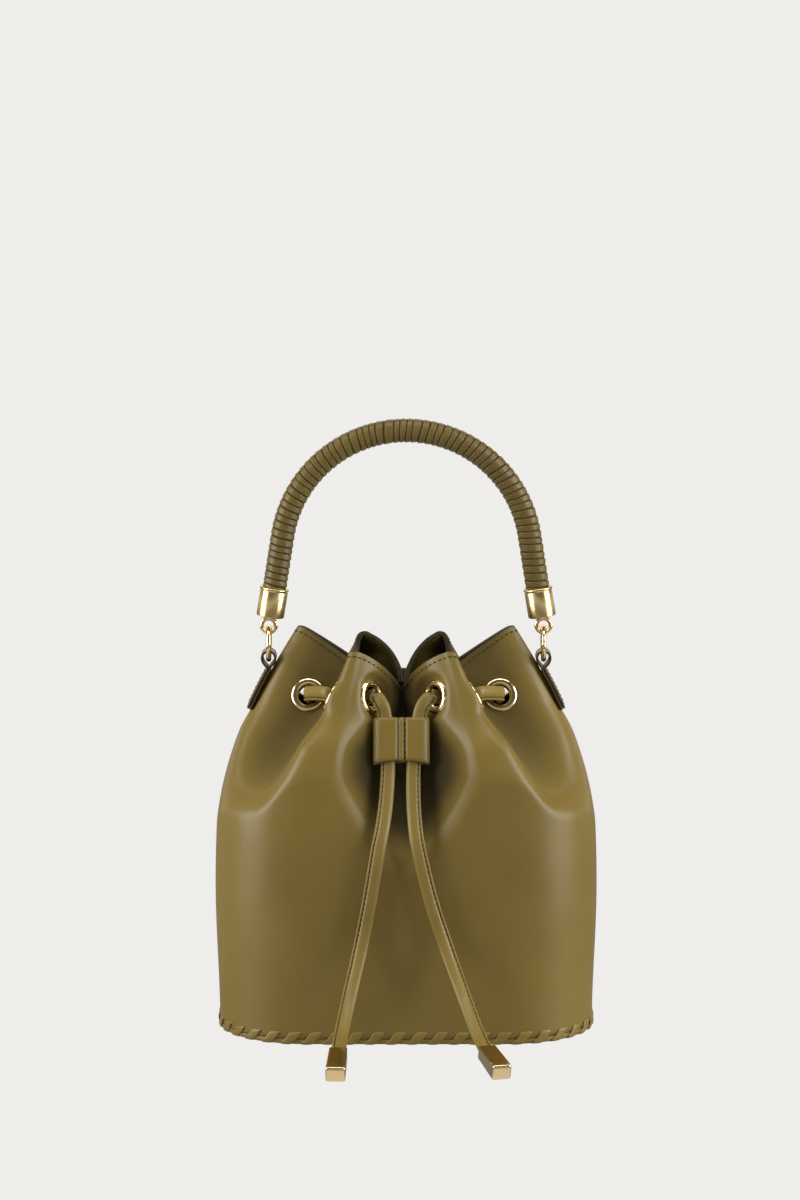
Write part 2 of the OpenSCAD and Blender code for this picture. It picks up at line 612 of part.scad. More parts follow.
front_panel();
back_panel();
mouth_facing();
lining();
base_panel();
base_board();
base_lacing();
color(gold) eyelets(front_cols);  // front_eyelets
color(gold) eyelets(back_cols);  // back_eyelets
color(gold) washers(front_cols);  // front_washers
color(gold) washers(back_cols);  // back_washers
drawstring_loop();
tail(tail_left_route, cap_left_yaw);  // drawstring_tail_left
tail(tail_right_route, cap_right_yaw);  // drawstring_tail_right
end_cap(tail_left_route, cap_left_yaw);  // end_cap_left
end_cap(tail_right_route, cap_right_yaw);  // end_cap_right
slider();
side_tab(-1);  // side_tab_left
side_tab(1);  // side_tab_right
ring(-1);  // ring_left
ring(1);  // ring_right
ferrule_eye(-1);  // ferrule_eye_left
ferrule_eye(1);  // ferrule_eye_right
ferrule(-1);  // ferrule_left
ferrule(1);  // ferrule_right
handle_core();
handle_wrap();
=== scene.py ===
# %% [markdown]
# # A drawstring bucket bag
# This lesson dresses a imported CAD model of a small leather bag. The frame already knows where every
# piece sits and what moves, so the lesson only makes looks: leather with thickness and folds, sewn
# edges, laced rims, polished metal and a wound handle. Each piece is made in millimetres, because
# that is how a maker thinks, and is turned into metres at the last moment.

# %% Load the frame
import math
import bmesh
import bpy
import numpy as np
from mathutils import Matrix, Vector


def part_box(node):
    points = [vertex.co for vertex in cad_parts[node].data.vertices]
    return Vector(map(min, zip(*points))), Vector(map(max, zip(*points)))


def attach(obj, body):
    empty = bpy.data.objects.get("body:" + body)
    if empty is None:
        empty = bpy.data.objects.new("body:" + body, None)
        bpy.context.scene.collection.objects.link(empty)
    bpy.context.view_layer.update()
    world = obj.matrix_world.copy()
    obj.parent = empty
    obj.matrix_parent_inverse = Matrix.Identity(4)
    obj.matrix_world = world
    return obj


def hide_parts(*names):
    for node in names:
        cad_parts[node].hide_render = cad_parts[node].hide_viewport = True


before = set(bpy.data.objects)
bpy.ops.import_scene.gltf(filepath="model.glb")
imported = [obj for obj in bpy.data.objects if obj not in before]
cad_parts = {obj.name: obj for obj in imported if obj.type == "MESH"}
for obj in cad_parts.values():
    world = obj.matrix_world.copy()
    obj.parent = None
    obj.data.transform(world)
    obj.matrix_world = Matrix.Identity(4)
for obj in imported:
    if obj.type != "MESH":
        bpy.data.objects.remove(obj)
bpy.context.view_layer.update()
MM = 0.001

# %% [markdown]
# ## Camera, floor and light
# A long lens from over two metres away keeps the bag's sides straight, as a catalogue does. The floor
# and wall are one pale sheet with a round bend, a sweep, so that no horizon shows, and it glows
# evenly so that it stays flat white. A round screen behind it fills the view from the side. Two
# tall soft boxes beside the bag draw the long sheen lines down the leather, one overhead lights the
# shoulders of the belly and one behind rims the handle. The middle of the front gets least, which
# is what makes the bag look round. The room itself is graded by height, for the metal to mirror.

# %% Camera
scene = bpy.context.scene
scene.view_settings.view_transform = "Standard"
camera_data = bpy.data.cameras.new("camera")
camera_data.lens, camera_data.sensor_width, camera_data.clip_end = 131.2, 36, 30
camera = bpy.data.objects.new("camera", camera_data)
CAMERA_PITCH = math.radians(8.57)
camera.location = (-0.0034, -2.4, 0.6)
camera.rotation_euler = (math.radians(90) - CAMERA_PITCH, 0, 0)
scene.collection.objects.link(camera)
scene.camera = camera
print("camera at", tuple(camera.location))

# %% Helpers for meshes
def new_object(name, points, faces):
    """A mesh object from points in millimetres."""
    mesh = bpy.data.meshes.new(name)
    mesh.from_pydata([tuple(p) for p in np.asarray(points, float) * MM], [], [tuple(f) for f in faces])
    mesh.validate()
    mesh.polygons.foreach_set("use_smooth", [True] * len(mesh.polygons))
    obj = bpy.data.objects.new(name, mesh)
    scene.collection.objects.link(obj)
    return obj


def grid_faces(rows, columns, closed=False):
    """Quads over rows of points, each row as long as the others."""
    last = columns if closed else columns - 1
    return [(j * columns + i, j * columns + (i + 1) % columns, (j + 1) * columns + (i + 1) % columns,
             (j + 1) * columns + i) for j in range(rows - 1) for i in range(last)]


def end_faces(rows, columns):
    """One flat face over the first row of points and one over the last."""
    return [tuple(range(columns))[::-1], tuple(range((rows - 1) * columns, rows * columns))]


def fan_faces(rows, columns):
    """Triangles from the first row to one added point, and from the last row to the next."""
    first, last = rows * columns, (rows - 1) * columns
    return ([(first, (i + 1) % columns, i) for i in range(columns)]
            + [(first + 1, last + i, last + (i + 1) % columns) for i in range(columns)])


def flat_row(places, z):
    """Outline places at one height."""
    return np.concatenate([places, np.full((len(places), 1), z)], 1)


def two_materials(obj, main, other, is_other):
    """Gives the faces that is_other picks the second material."""
    obj.data.materials.append(main)
    obj.data.materials.append(other)
    for poly in obj.data.polygons:
        poly.material_index = int(is_other(poly))


def unit(v):
    v = np.asarray(v, float)
    return v / np.linalg.norm(v, axis=-1, keepdims=True)


def ease(t):
    return t * t * (3 - 2 * t)


def lerp(a, b, t):
    return a + (b - a) * t


# %% Sweep, screen and lights
SWEEP_SIDE, SWEEP_BACK, SWEEP_BEND, SWEEP_HEIGHT = 6000, 2600, 1500, 2100
SCREEN_R, SCREEN_HEIGHT = 5000, 4000
BAG_MIDDLE = Vector((0, 0, 0.14))


def stage_sweep():
    """Floor, round bend and back wall as one sheet."""
    profile = [(-SWEEP_SIDE, 0), (SWEEP_BACK, 0)]
    profile += [(SWEEP_BACK + SWEEP_BEND * math.sin(a), SWEEP_BEND - SWEEP_BEND * math.cos(a))
                for a in np.linspace(0, math.pi / 2, 17)[1:]]
    profile += [(SWEEP_BACK + SWEEP_BEND, SWEEP_HEIGHT)]
    points = [(x, y, z) for y, z in profile for x in (-SWEEP_SIDE, SWEEP_SIDE)]
    return new_object("sweep", points, grid_faces(len(profile), 2))


def round_screen():
    """A round wall far behind everything, so that a view from the side doesn't look past the sweep."""
    turn = np.linspace(0, 2 * math.pi, 64, endpoint=False)
    points = [(SCREEN_R * math.cos(a), SCREEN_R * math.sin(a), z) for z in (0, SCREEN_HEIGHT) for a in turn]
    return new_object("screen", points, grid_faces(2, len(turn), True))


def soft_box(name, place, width, height, power):
    data = bpy.data.lights.new(name, "AREA")
    data.shape = "RECTANGLE"
    data.size, data.size_y, data.energy = width, height, power
    light = bpy.data.objects.new(name, data)
    light.location = place
    light.rotation_euler = (BAG_MIDDLE - Vector(place)).to_track_quat("-Z", "Y").to_euler()
    light.visible_camera = False
    scene.collection.objects.link(light)


def room_light(stops):
    """A world graded by height: stops are (sine of the elevation, brightness)."""
    world = bpy.data.worlds.new("room")
    world.use_nodes = True
    tree = world.node_tree
    way = tree.nodes.new("ShaderNodeTexCoord").outputs["Generated"]
    split, shift, ramp = (tree.nodes.new(kind) for kind in ("ShaderNodeSeparateXYZ", "ShaderNodeMath",
                                                            "ShaderNodeValToRGB"))
    shift.operation = "MULTIPLY_ADD"
    shift.inputs[1].default_value = shift.inputs[2].default_value = 0.5
    tree.links.new(way, split.inputs[0])
    tree.links.new(split.outputs["Z"], shift.inputs[0])
    tree.links.new(shift.outputs[0], ramp.inputs["Fac"])
    elements = ramp.color_ramp.elements
    for height, level in stops[1:-1]:
        elements.new(height / 2 + 0.5)
    for element, (height, level) in zip(elements, stops):
        element.position = height / 2 + 0.5
        element.color = (level, level * 0.99, level * 0.972, 1)
    tree.links.new(ramp.outputs["Color"], tree.nodes["Background"].inputs["Color"])
    scene.world = world


sweep = stage_sweep()
sweep.visible_diffuse = sweep.visible_glossy = False
screen = round_screen()
screen.visible_diffuse = screen.visible_glossy = screen.visible_shadow = False
soft_box("box_left", (-1.2, -0.38, 0.5), 0.8, 1.2, 23)
soft_box("box_right", (1.2, -0.38, 0.5), 0.8, 1.2, 23)
soft_box("box_top", (0, -0.2, 1.5), 1.6, 0.5, 12)
soft_box("box_back", (0, 1.5, 1.0), 1.6, 0.6, 8)
room_light([(-1, 0.8), (-0.5, 0.75), (-0.38, 0.24), (-0.04, 0.24), (-0.02, 0.87), (0.12, 0.87), (0.2, 0.12),
            (1, 0.12)])

# %% [markdown]
# ## Materials
# Leather is a dyed surface with a soft sheen, so its shader is one slightly rough base, low in
# gloss. Its grain is a net of tiny cells with finer noise, and both read Object coordinates, which
# stay still on the piece. Where a piece carries a `crease` attribute, its colour is darkened as a
# painted shade, deepest in a fold, and its surface turns dull there. Cut edges are painted darker.
# The metal is a plated gold: a metallic base whose roughness wanders a little, the way polishing leaves it.

# %% Material builder
GRAIN_DEPTH, SOFT_DEPTH = 0.00012, 0.004


def new_material(name, **values):
    """A Principled material and its node tree; the constant values go on the shader's own sockets."""
    mat = bpy.data.materials.new(name)
    mat.use_nodes = True
    shader = mat.node_tree.nodes["Principled BSDF"]
    for socket, value in values.items():
        shader.inputs[socket.replace("_", " ")].default_value = value
    return mat, mat.node_tree, shader


def add_node(tree, kind, **values):
    node = tree.nodes.new(kind)
    for key, value in values.items():
        if hasattr(node, key):
            setattr(node, key, value)
        else:
            node.inputs[key].default_value = value
    return node


def mixed_colour(tree, factor, dark, light):
    """A colour ramp between two linear colours, driven by a value."""
    ramp = tree.nodes.new("ShaderNodeValToRGB")
    ramp.color_ramp.elements[0].color = (*dark, 1)
    ramp.color_ramp.elements[1].color = (*light, 1)
    tree.links.new(factor, ramp.inputs["Fac"])
    return ramp.outputs["Color"]


def noise(tree, vector, scale, detail=3.0, rough=0.5):
    node = add_node(tree, "ShaderNodeTexNoise", Scale=scale, Detail=detail, Roughness=rough)
    tree.links.new(vector, node.inputs["Vector"])
    return node.outputs["Fac"]


def bump(tree, shader, height, strength, distance, before=None):
    node = add_node(tree, "ShaderNodeBump", Strength=strength, Distance=distance)
    tree.links.new(height, node.inputs["Height"])
    if before is not None:
        tree.links.new(before, node.inputs["Normal"])
    tree.links.new(node.outputs["Normal"], shader.inputs["Normal"])
    return node.outputs["Normal"]


def spread(tree, value, low, high, start=0.0, end=1.0):
    """Moves a value between start and end into the range from low to high."""
    node = tree.nodes.new("ShaderNodeMapRange")
    for socket, number in (("From Min", start), ("From Max", end), ("To Min", low), ("To Max", high)):
        node.inputs[socket].default_value = number
    tree.links.new(value, node.inputs["Value"])
    return node.outputs["Result"]


def leather(name, dark, light, rough_low, rough_high, grain, grain_size=0.0011, shine=0.3, crease=None):
    """Dyed leather. crease names a point attribute that is 0 where the painted shade is deepest."""
    mat, tree, shader = new_material(name, Specular_IOR_Level=shine)
    where = tree.nodes.new("ShaderNodeTexCoord").outputs["Object"]
    cloud = noise(tree, where, 14, 4, 0.55)
    dye_and_shade = mixed_colour(tree, spread(tree, cloud, -0.25, 1.25), dark, light)
    worn = spread(tree, noise(tree, where, 55, 3), rough_low, rough_high)
    # painted shade: the attribute scales the colour down to 0.12 of it and makes the surface rougher
    if crease:
        depth = add_node(tree, "ShaderNodeAttribute", attribute_name=crease).outputs["Fac"]
        shade = add_node(tree, "ShaderNodeVectorMath", operation="SCALE")
        tree.links.new(dye_and_shade, shade.inputs[0])
        tree.links.new(spread(tree, depth, 0.12, 1.0), shade.inputs["Scale"])
        dull = add_node(tree, "ShaderNodeMath", operation="MAXIMUM")
        tree.links.new(worn, dull.inputs[0])
        tree.links.new(spread(tree, depth, 1.0, 0.0, 0.8, 0.985), dull.inputs[1])
        dye_and_shade, worn = shade.outputs[0], dull.outputs[0]
    tree.links.new(dye_and_shade, shader.inputs["Base Color"])
    tree.links.new(worn, shader.inputs["Roughness"])
    cells = add_node(tree, "ShaderNodeTexVoronoi", feature="DISTANCE_TO_EDGE", Scale=1 / grain_size)
    tree.links.new(where, cells.inputs["Vector"])
    creases = spread(tree, cells.outputs["Distance"], 0, 3)
    soft = bump(tree, shader, noise(tree, where, 22, 2, 0.4), 0.22, SOFT_DEPTH)
    first = bump(tree, shader, creases, grain, GRAIN_DEPTH, soft)
    bump(tree, shader, noise(tree, where, 900, 4, 0.6), grain * 0.9, 0.0001, first)
    return mat


# %% Leathers, thread, metal and cloth
OLIVE_DARK, OLIVE_LIGHT = (0.138, 0.093, 0.0165), (0.184, 0.127, 0.027)
body_leather = leather("body_leather", OLIVE_DARK, OLIVE_LIGHT, 0.34, 0.44, 0.14)
# fold_shade is painted shade in the folds of the wall
wall_leather = leather("wall_leather", OLIVE_DARK, OLIVE_LIGHT, 0.34, 0.44, 0.14, crease="fold_shade")
strap_leather = leather("strap_leather", (0.155, 0.103, 0.019), (0.205, 0.145, 0.033), 0.32, 0.44, 0.2, 0.0009)
# painted shade: the groove attribute darkens the wound strip along each lap line
wrap_leather = leather("wrap_leather", (0.088, 0.060, 0.0105), (0.130, 0.090, 0.0195), 0.32, 0.44, 0.25, 0.0009,
                       crease="groove")
lace_leather = leather("lace_leather", (0.150, 0.100, 0.017), (0.200, 0.140, 0.030), 0.34, 0.44, 0.25, 0.0009)
edge_paint = leather("edge_paint", (0.026, 0.018, 0.0045), (0.044, 0.031, 0.009), 0.40, 0.55, 0.10, 0.0016, 0.2)
suede = leather("suede_side", (0.040, 0.029, 0.006), (0.066, 0.048, 0.012), 0.75, 0.9, 0.5, 0.0006, 0.05)
thread = leather("waxed_thread", (0.026, 0.018, 0.004), (0.045, 0.032, 0.009), 0.5, 0.65, 0.6, 0.0004, 0.2)


def gold_material(name, colour, low, high):
    mat, tree, shader = new_material(name, Metallic=1.0, Base_Color=(*colour, 1))
    where = tree.nodes.new("ShaderNodeTexCoord").outputs["Object"]
    tree.links.new(spread(tree, noise(tree, where, 160, 4), low, high), shader.inputs["Roughness"])
    return mat


WAVE_PER_PITCH = 0.314


def weave_material(name, dark, light, pitch):
    """A plain weave: two sets of waves across each other, one over the other in turn."""
    mat, tree, shader = new_material(name, Roughness=0.85, Sheen_Weight=0.3)
    where = tree.nodes.new("ShaderNodeTexCoord").outputs["Object"]
    waves = []
    for axis in ("X", "Z"):
        wave = add_node(tree, "ShaderNodeTexWave", bands_direction=axis, Scale=WAVE_PER_PITCH / pitch)
        tree.links.new(where, wave.inputs["Vector"])
        waves.append(wave.outputs["Fac"])
    both = add_node(tree, "ShaderNodeMath", operation="MULTIPLY")
    tree.links.new(waves[0], both.inputs[0])
    tree.links.new(waves[1], both.inputs[1])
    tree.links.new(mixed_colour(tree, both.outputs[0], dark, light), shader.inputs["Base Color"])
    bump(tree, shader, both.outputs[0], 0.5, 0.0002)
    return mat


gold = gold_material("plated_gold", (0.80, 0.62, 0.34), 0.10, 0.20)
satin_gold = gold_material("satin_gold", (0.60, 0.45, 0.20), 0.20, 0.30)
lining_cloth = weave_material("lining_cloth", (0.014, 0.010, 0.003), (0.030, 0.022, 0.008), 0.0006)
rope = weave_material("cotton_rope", (0.40, 0.33, 0.22), (0.55, 0.47, 0.33), 0.0015)
board = weave_material("fibre_board", (0.16, 0.14, 0.12), (0.22, 0.20, 0.17), 0.0008)
pale = new_material("pale_sweep", Roughness=1.0, Base_Color=(0, 0, 0, 1), Specular_IOR_Level=0.0,
                    Emission_Color=(0.858, 0.85, 0.832, 1), Emission_Strength=1.0)[0]
sweep.data.materials.append(pale)
screen.data.materials.append(pale)
print("materials:", len(bpy.data.materials))

# %% [markdown]
# ## The shape of the wall
# The wall starts as a flat sheet sewn into a rounded tube. Pulling the drawstring folds its mouth
# into twelve folds, six ridges and six valleys. The shape is one formula: a point of the wall slides
# from the base outline towards the mouth outline, late and sharply where a fold is deep. A formula
# beats sculpting here, because every seam, eyelet and stitch can ask it for its own place.

# %% Outlines
WALL_FOOT, BODY_HEIGHT = 3.8, 224.0
BASE_WIDTH, BASE_DEPTH, BASE_CORNER = 208.0, 124.0, 50.0
BELLY_BULGE, BELLY_TOP = 0.021, 160.0
COLUMNS, FOLD_COLUMNS = 72, 6
MOUTH_LEAN = -2.0


def fold(x, y, drop, start, power, roundness):
    """Mouth place of one fold, its height, where it begins, how late it draws in and how round it is."""
    return (x + (MOUTH_LEAN if drop > 0 else 0), y, BODY_HEIGHT - drop, BODY_HEIGHT * start, power, roundness)


half_folds = [(0, -9, 34, 0.43, 1.25, 0.34), (26, -36, 9, 0.46, 1.7, 0.86), (31, -12, 28, 0.49, 1.15, 0.36),
              (60, 0, 0, 0.46, 1.8, 0.80), (31, 12, 28, 0.49, 1.15, 0.36), (21, 36, 9, 0.46, 1.7, 0.86),
              (0, 9, 34, 0.43, 1.25, 0.34)]
mirrored = [(-f[0], *f[1:]) for f in half_folds[-2:0:-1]]
FOLDS = np.array([fold(*f) for f in half_folds + mirrored])
FLAT_X, FLAT_Y = BASE_WIDTH / 2 - BASE_CORNER, BASE_DEPTH / 2 - BASE_CORNER
ARC = BASE_CORNER * math.pi / 2
QUARTER = FLAT_X + ARC + FLAT_Y


def base_outline(col, inset=0.0):
    """Places on the rounded base, walked by the length of its edge from the front middle."""
    turn = 4 * np.mod(np.asarray(col, float) / COLUMNS, 1)
    q = np.floor(turn)
    s = np.where(q % 2 == 0, turn - q, 1 - turn + q) * QUARTER
    a = np.clip((s - FLAT_X) / BASE_CORNER, 0, math.pi / 2)
    r = BASE_CORNER - inset
    x = np.minimum(s, FLAT_X) + r * np.sin(a)
    y = -FLAT_Y - r * np.cos(a) + np.maximum(0, s - FLAT_X - ARC)
    x = np.where(s <= FLAT_X, s, x)
    y = np.where(s <= FLAT_X, -BASE_DEPTH / 2 + inset, y)
    return np.stack([np.where(q < 2, x, -x), np.where((q == 0) | (q == 3), y, -y)], -1)


def hermite(p0, m0, p1, m1, t):
    return ((2 * t ** 3 - 3 * t ** 2 + 1) * p0 + (t ** 3 - 2 * t ** 2 + t) * m0
            + (3 * t ** 2 - 2 * t ** 3) * p1 + (t ** 3 - t ** 2) * m1)


def mouth(col):
    """x, y, height, fold start and fold power of the mouth at a column."""
    c = np.mod(np.asarray(col, float), COLUMNS)
    k = np.floor(c / FOLD_COLUMNS).astype(int) % 12
    t = (c / FOLD_COLUMNS - np.floor(c / FOLD_COLUMNS))[..., None]
    tangent = (np.roll(FOLDS[:, :2], -1, 0) - np.roll(FOLDS[:, :2], 1, 0)) * FOLDS[:, 5:6]
    a, b = k, (k + 1) % 12
    place = hermite(FOLDS[a, :2], tangent[a], FOLDS[b, :2], tangent[b], t)
    return np.concatenate([place, lerp(FOLDS[a, 2:5], FOLDS[b, 2:5], ease(t))], -1)


print("mouth at the front middle:", mouth(0).round(1))

# %% [markdown]
# The CAD keeps its folds plain, so that they can be built and checked. Real leather resists: it
# stays on the round belly as long as it can and then breaks into each hollow along a crisp,
# U-shaped crease. Below the eyelets the look therefore takes its own fold starts, high at the ridges
# and low in the hollows. It returns to the CAD's shape at the mouth, where the fittings sit. At the
# front middle two lobes nearly meet, so the leather beside the middle fold is drawn inwards.

# %% Wall places and directions
LOOK = [(0.435, 1.1), (0.66, 1.35), (0.57, 1.04), (0.51, 1.8)]
FOLD_SOFT, STEEP_SHARE, STEEP_POWER, PAST_MOUTH = 0.03, 0.85, 1.9, 0.3
LOBE_RIGHT, LOBE_LEFT, LOBE_FORWARD, LOBE_COLUMNS, LOBE_FROM, LOBE_FADE = -5.5, 4.0, 2.5, 5.2, 166, 20
LOOK_FOLDS = np.array([LOOK[k] for k in (0, 1, 2, 3, 2, 1, 0, 1, 2, 3, 2, 1)]) * [BODY_HEIGHT, 1]
RETURN_FROM, RETURN_TO = 164.0, 185.0


def draw_in(z, top, start, power, soft):
    """How far a fold has moved from the base outline to the mouth, from 0 to 1."""
    s = (z - start) / (top - start)
    return np.maximum(0, (s + np.sqrt(s * s + soft * soft)) / (1 + math.sqrt(1 + soft * soft))) ** power


def lobe_shift(col, z):
    """Moves the leather on both sides of a middle fold towards it, near the mouth."""
    c = np.mod(np.asarray(col, float) + 18, 36) - 18
    near_mouth = ease(np.clip((z - LOBE_FROM) / LOBE_FADE, 0, 1))
    w = np.sin(math.pi * np.clip(np.abs(c) / LOBE_COLUMNS, 0, 1)) * near_mouth
    facing_way = np.where(np.mod(np.asarray(col, float) + 18, 72) < 36, 1, -1)
    x = np.where(c > 0, LOBE_RIGHT, LOBE_LEFT)
    return np.stack([facing_way * x * w, -facing_way * LOBE_FORWARD * w], -1)


CORNER_X, EDGE_SLOPE, TIP_ROUND = 60.0, 0.74, 2.0


def look_top(col, place):
    """Height of the look's top edge: a straight run down from each rounded corner tip to the hollow."""
    c = np.mod(np.asarray(col, float) + 36, 36) - 18
    q = np.abs(c)

    def run(x):
        d = CORNER_X - np.abs(x) - TIP_ROUND
        return BODY_HEIGHT - EDGE_SLOPE * (d + np.sqrt(d * d + 4)) / 2

    hollow_x = np.where(place[..., 0] > 0, 29, -33)
    beside = lerp(run(hollow_x), BODY_HEIGHT - 9, ease(np.clip(q / 6 - 1, 0, 1)))
    middle = lerp(BODY_HEIGHT - 9, BODY_HEIGHT - 34, ease(np.clip(q / 6 - 2, 0, 1)))
    return np.where(q <= 6, run(place[..., 0]), np.where(q <= 12, beside, middle))


def raw_wall(col, t, look=1.0):
    """The outer face at a column and at a share t of the height there. look=0 is the CAD's own shape."""
    col, t = np.broadcast_arrays(np.asarray(col, float), np.asarray(t, float))
    m = mouth(col)
    z = lerp(WALL_FOOT, look_top(col, m[..., :2]) if look else m[..., 2], t)
    g = draw_in(z, m[..., 2], m[..., 3], m[..., 4], 0.0)
    belly = 1 + BELLY_BULGE * np.sin(math.pi * np.minimum(1, z / BELLY_TOP)) ** 2
    place = m[..., :2]
    if look:
        k = np.floor(np.mod(col, COLUMNS) / FOLD_COLUMNS).astype(int) % 12
        u = np.mod(col, FOLD_COLUMNS) / FOLD_COLUMNS
        steep = np.clip(np.where(k % 6 == 5, 1 - u, u) / STEEP_SHARE, 0, 1) ** STEEP_POWER
        e = np.where(k % 6 == 0, steep, np.where(k % 6 == 5, 1 - steep, ease(ease(u))))
        start, power = (lerp(LOOK_FOLDS[k, i], LOOK_FOLDS[(k + 1) % 12, i], e) for i in (0, 1))
        own = draw_in(z, m[..., 2], start, power, FOLD_SOFT)
        g = lerp(own, g, ease(np.clip((z - RETURN_FROM) / (RETURN_TO - RETURN_FROM), 0, 1)))
        g = np.where(g > 1, 1 + (g - 1) * PAST_MOUTH, g)
        place = place + lobe_shift(col, z)
    p = lerp(base_outline(col) * belly[..., None], place, g[..., None])
    return np.concatenate([p, z[..., None]], -1)


def across(wall_function, col, t):
    """Outward direction of the wall, from its slopes over a short reach."""
    col, t = np.asarray(col, float), np.asarray(t, float)
    side = wall_function(col + 0.5, t) - wall_function(col - 0.5, t)
    up = wall_function(col, t + 0.02) - wall_function(col, t - 0.02)
    return unit(np.cross(side, up))


FRONT_EYELETS = [58, 63, 68.5, 3.5, 9, 14]
BACK_EYELETS = [22, 27, 32.5, 39.5, 45, 50]
EYELET_DROP, FLAT_REACH, FLAT_FADE = 16.0, 9.5, 5.0


def eyelet_seat(col):
    t = 1 - EYELET_DROP / (mouth(col)[2] - WALL_FOOT)
    return raw_wall(col, t, 0), across(lambda c, h: raw_wall(c, h, 0), col, t)


seats = {col: eyelet_seat(col) for col in FRONT_EYELETS + BACK_EYELETS}


def wall(col, t):
    """The outer face, with the leather pressed flat under each eyelet."""
    p = raw_wall(col, t)
    for centre, out in seats.values():
        d = np.linalg.norm(p - centre, axis=-1)
        w = ease(np.clip(1 - (d - FLAT_REACH) / FLAT_FADE, 0, 1))
        p = p - out * (((p - centre) @ out) * w)[..., None]
    return p


def wall_out(col, t):
    return across(wall, col, np.minimum(t, 0.985))


print("eyelet by the front middle:", seats[3.5][0].round(1))

# %% [markdown]
# ## Leather panels
# Each half of the wall is a thick sheet: an outer grid and an inner grid, joined round a rounded
# rim. A Solidify modifier could thicken one grid, but a sheet built from two grids can stop where
# the next layer starts. The rim faces take the edge paint, and each outer point gets a painted
# shade, darker the deeper in a fold it lies.

# %% Sheet builder
LEATHER_T, FACING_T, LINING_T = 1.6, 1.0, 0.8
LAYER_GAP, SOFT_GAP = 0.1, 0.3
RIM_STEPS = 5


def fold_shade(col, p):
    """Painted shade: 1 on the round belly, less where the wall lies far behind its neighbouring ridges."""
    c = np.mod(np.asarray(col, float), COLUMNS)
    depth = np.linalg.norm(base_outline(c) - p[..., :2], axis=-1)
    ridge = np.mod(c + 9, 12) / 12
    beside = [c - 12 * ridge + 3, c - 12 * ridge + 15]
    z = p[..., 2]
    t = [np.clip((z - WALL_FOOT) / (look_top(b, mouth(b)[..., :2]) - WALL_FOOT), 0, 1) for b in beside]
    near = [np.linalg.norm(base_outline(b) - raw_wall(b, h)[..., :2], axis=-1) for b, h in zip(beside, t)]
    behind = depth - lerp(near[0], near[1], ridge)
    from_middle = np.abs(np.mod(c + 18, 36) - 18)
    low = 1 - ease(np.clip((z - 160) / 20, 0, 1))
    middle = from_middle < 6
    reach = np.where(middle, 20 - 8 * low, 26)
    shade = np.where(middle, 0.62 + 0.3 * low, 0.6) * ease(np.clip(behind / reach, 0, 1))
    # painted shade in the hollow between the two front lobes, near the mouth
    hollow = 0.95 * (1 - low) * ease(np.clip(1.6 - from_middle / 1.6, 0, 1))
    return 1 - np.maximum(shade, hollow)


def thick_sheet(name, cols, ts, inner_from, inner_to, closed):
    """A closed sheet between two depths below the wall's outer face, with paint on its rim."""
    c, t = np.meshgrid(cols, ts)
    face, out = wall(c, t), wall_out(c, t)
    outer, inner = face - out * inner_from, face - out * inner_to
    rows = list(outer)
    middle, half = (outer[-1] + inner[-1]) / 2, (outer[-1] - inner[-1]) / 2
    thick = inner_to - inner_from
    for k in range(1, RIM_STEPS):
        a = math.pi * k / RIM_STEPS
        rows.append(middle + half * math.cos(a) + np.array([0, 0, 0.32 * thick * math.sin(a)]))
    rim_first = len(ts) - 1
    rows += list(inner[::-1])
    middle, half = (outer[0] + inner[0]) / 2, (inner[0] - outer[0]) / 2
    rows.append(middle + half * 0.5)
    rows.append(middle - half * 0.5)
    points = np.concatenate(rows)
    n, m = len(rows), len(cols)
    faces = grid_faces(n, m, closed)
    last = m if closed else m - 1
    faces += [((n - 1) * m + i, (n - 1) * m + (i + 1) % m, (i + 1) % m, i) for i in range(last)]
    if not closed:
        faces += [tuple(j * m for j in range(n))]
        faces += [tuple(j * m + m - 1 for j in range(n))[::-1]]
    obj = new_object(name, points, faces)
    # painted shade: each outer point stores fold_shade, which darkens the wall leather deep in a fold
    shade = np.ones(len(points), np.float32)
    shade[:c.size] = fold_shade(c, face).ravel()
    obj.data.attributes.new("fold_shade", "FLOAT", "POINT").data.foreach_set("value", shade)
    rim = range(rim_first * last, (rim_first + RIM_STEPS) * last)
    two_materials(obj, wall_leather, edge_paint, lambda poly: poly.index in rim)
    return obj


LEVELS = 1 - (1 - np.linspace(0, 1, 111)) ** 1.25
PER_COLUMN = 6
half_columns = np.linspace(-18, 18, 36 * PER_COLUMN + 1)
front_panel = thick_sheet("front_leather", half_columns, LEVELS, 0, LEATHER_T, False)
back_panel = thick_sheet("back_leather", half_columns + 36, LEVELS, 0, LEATHER_T, False)
print("panel faces:", len(front_panel.data.polygons), len(back_panel.data.polygons))

# %% [markdown]
# ## Facing and lining
# Inside the mouth a second band of leather takes the pull of the eyelets, and below it hangs a cloth
# lining. The band is the same thick sheet, set deeper. The lining is a grid of its own with soft
# waves, because loose cloth never lies flat, and fans of triangles close its floor.

# %% Facing and lining
FACING_FROM = 1 - (1 - 11 / 16) ** 1.3
FLOOR_Z, SHARES_OF_FLOOR = 5.9, (0.9, 0.6, 0.3)
facing_in = LEATHER_T + LAYER_GAP
round_columns = np.arange(0, COLUMNS, 1 / 5)
facing = thick_sheet("mouth_facing_band", round_columns, np.linspace(FACING_FROM, 1, 34), facing_in,
                     facing_in + FACING_T, True)
facing.data.materials[0] = suede


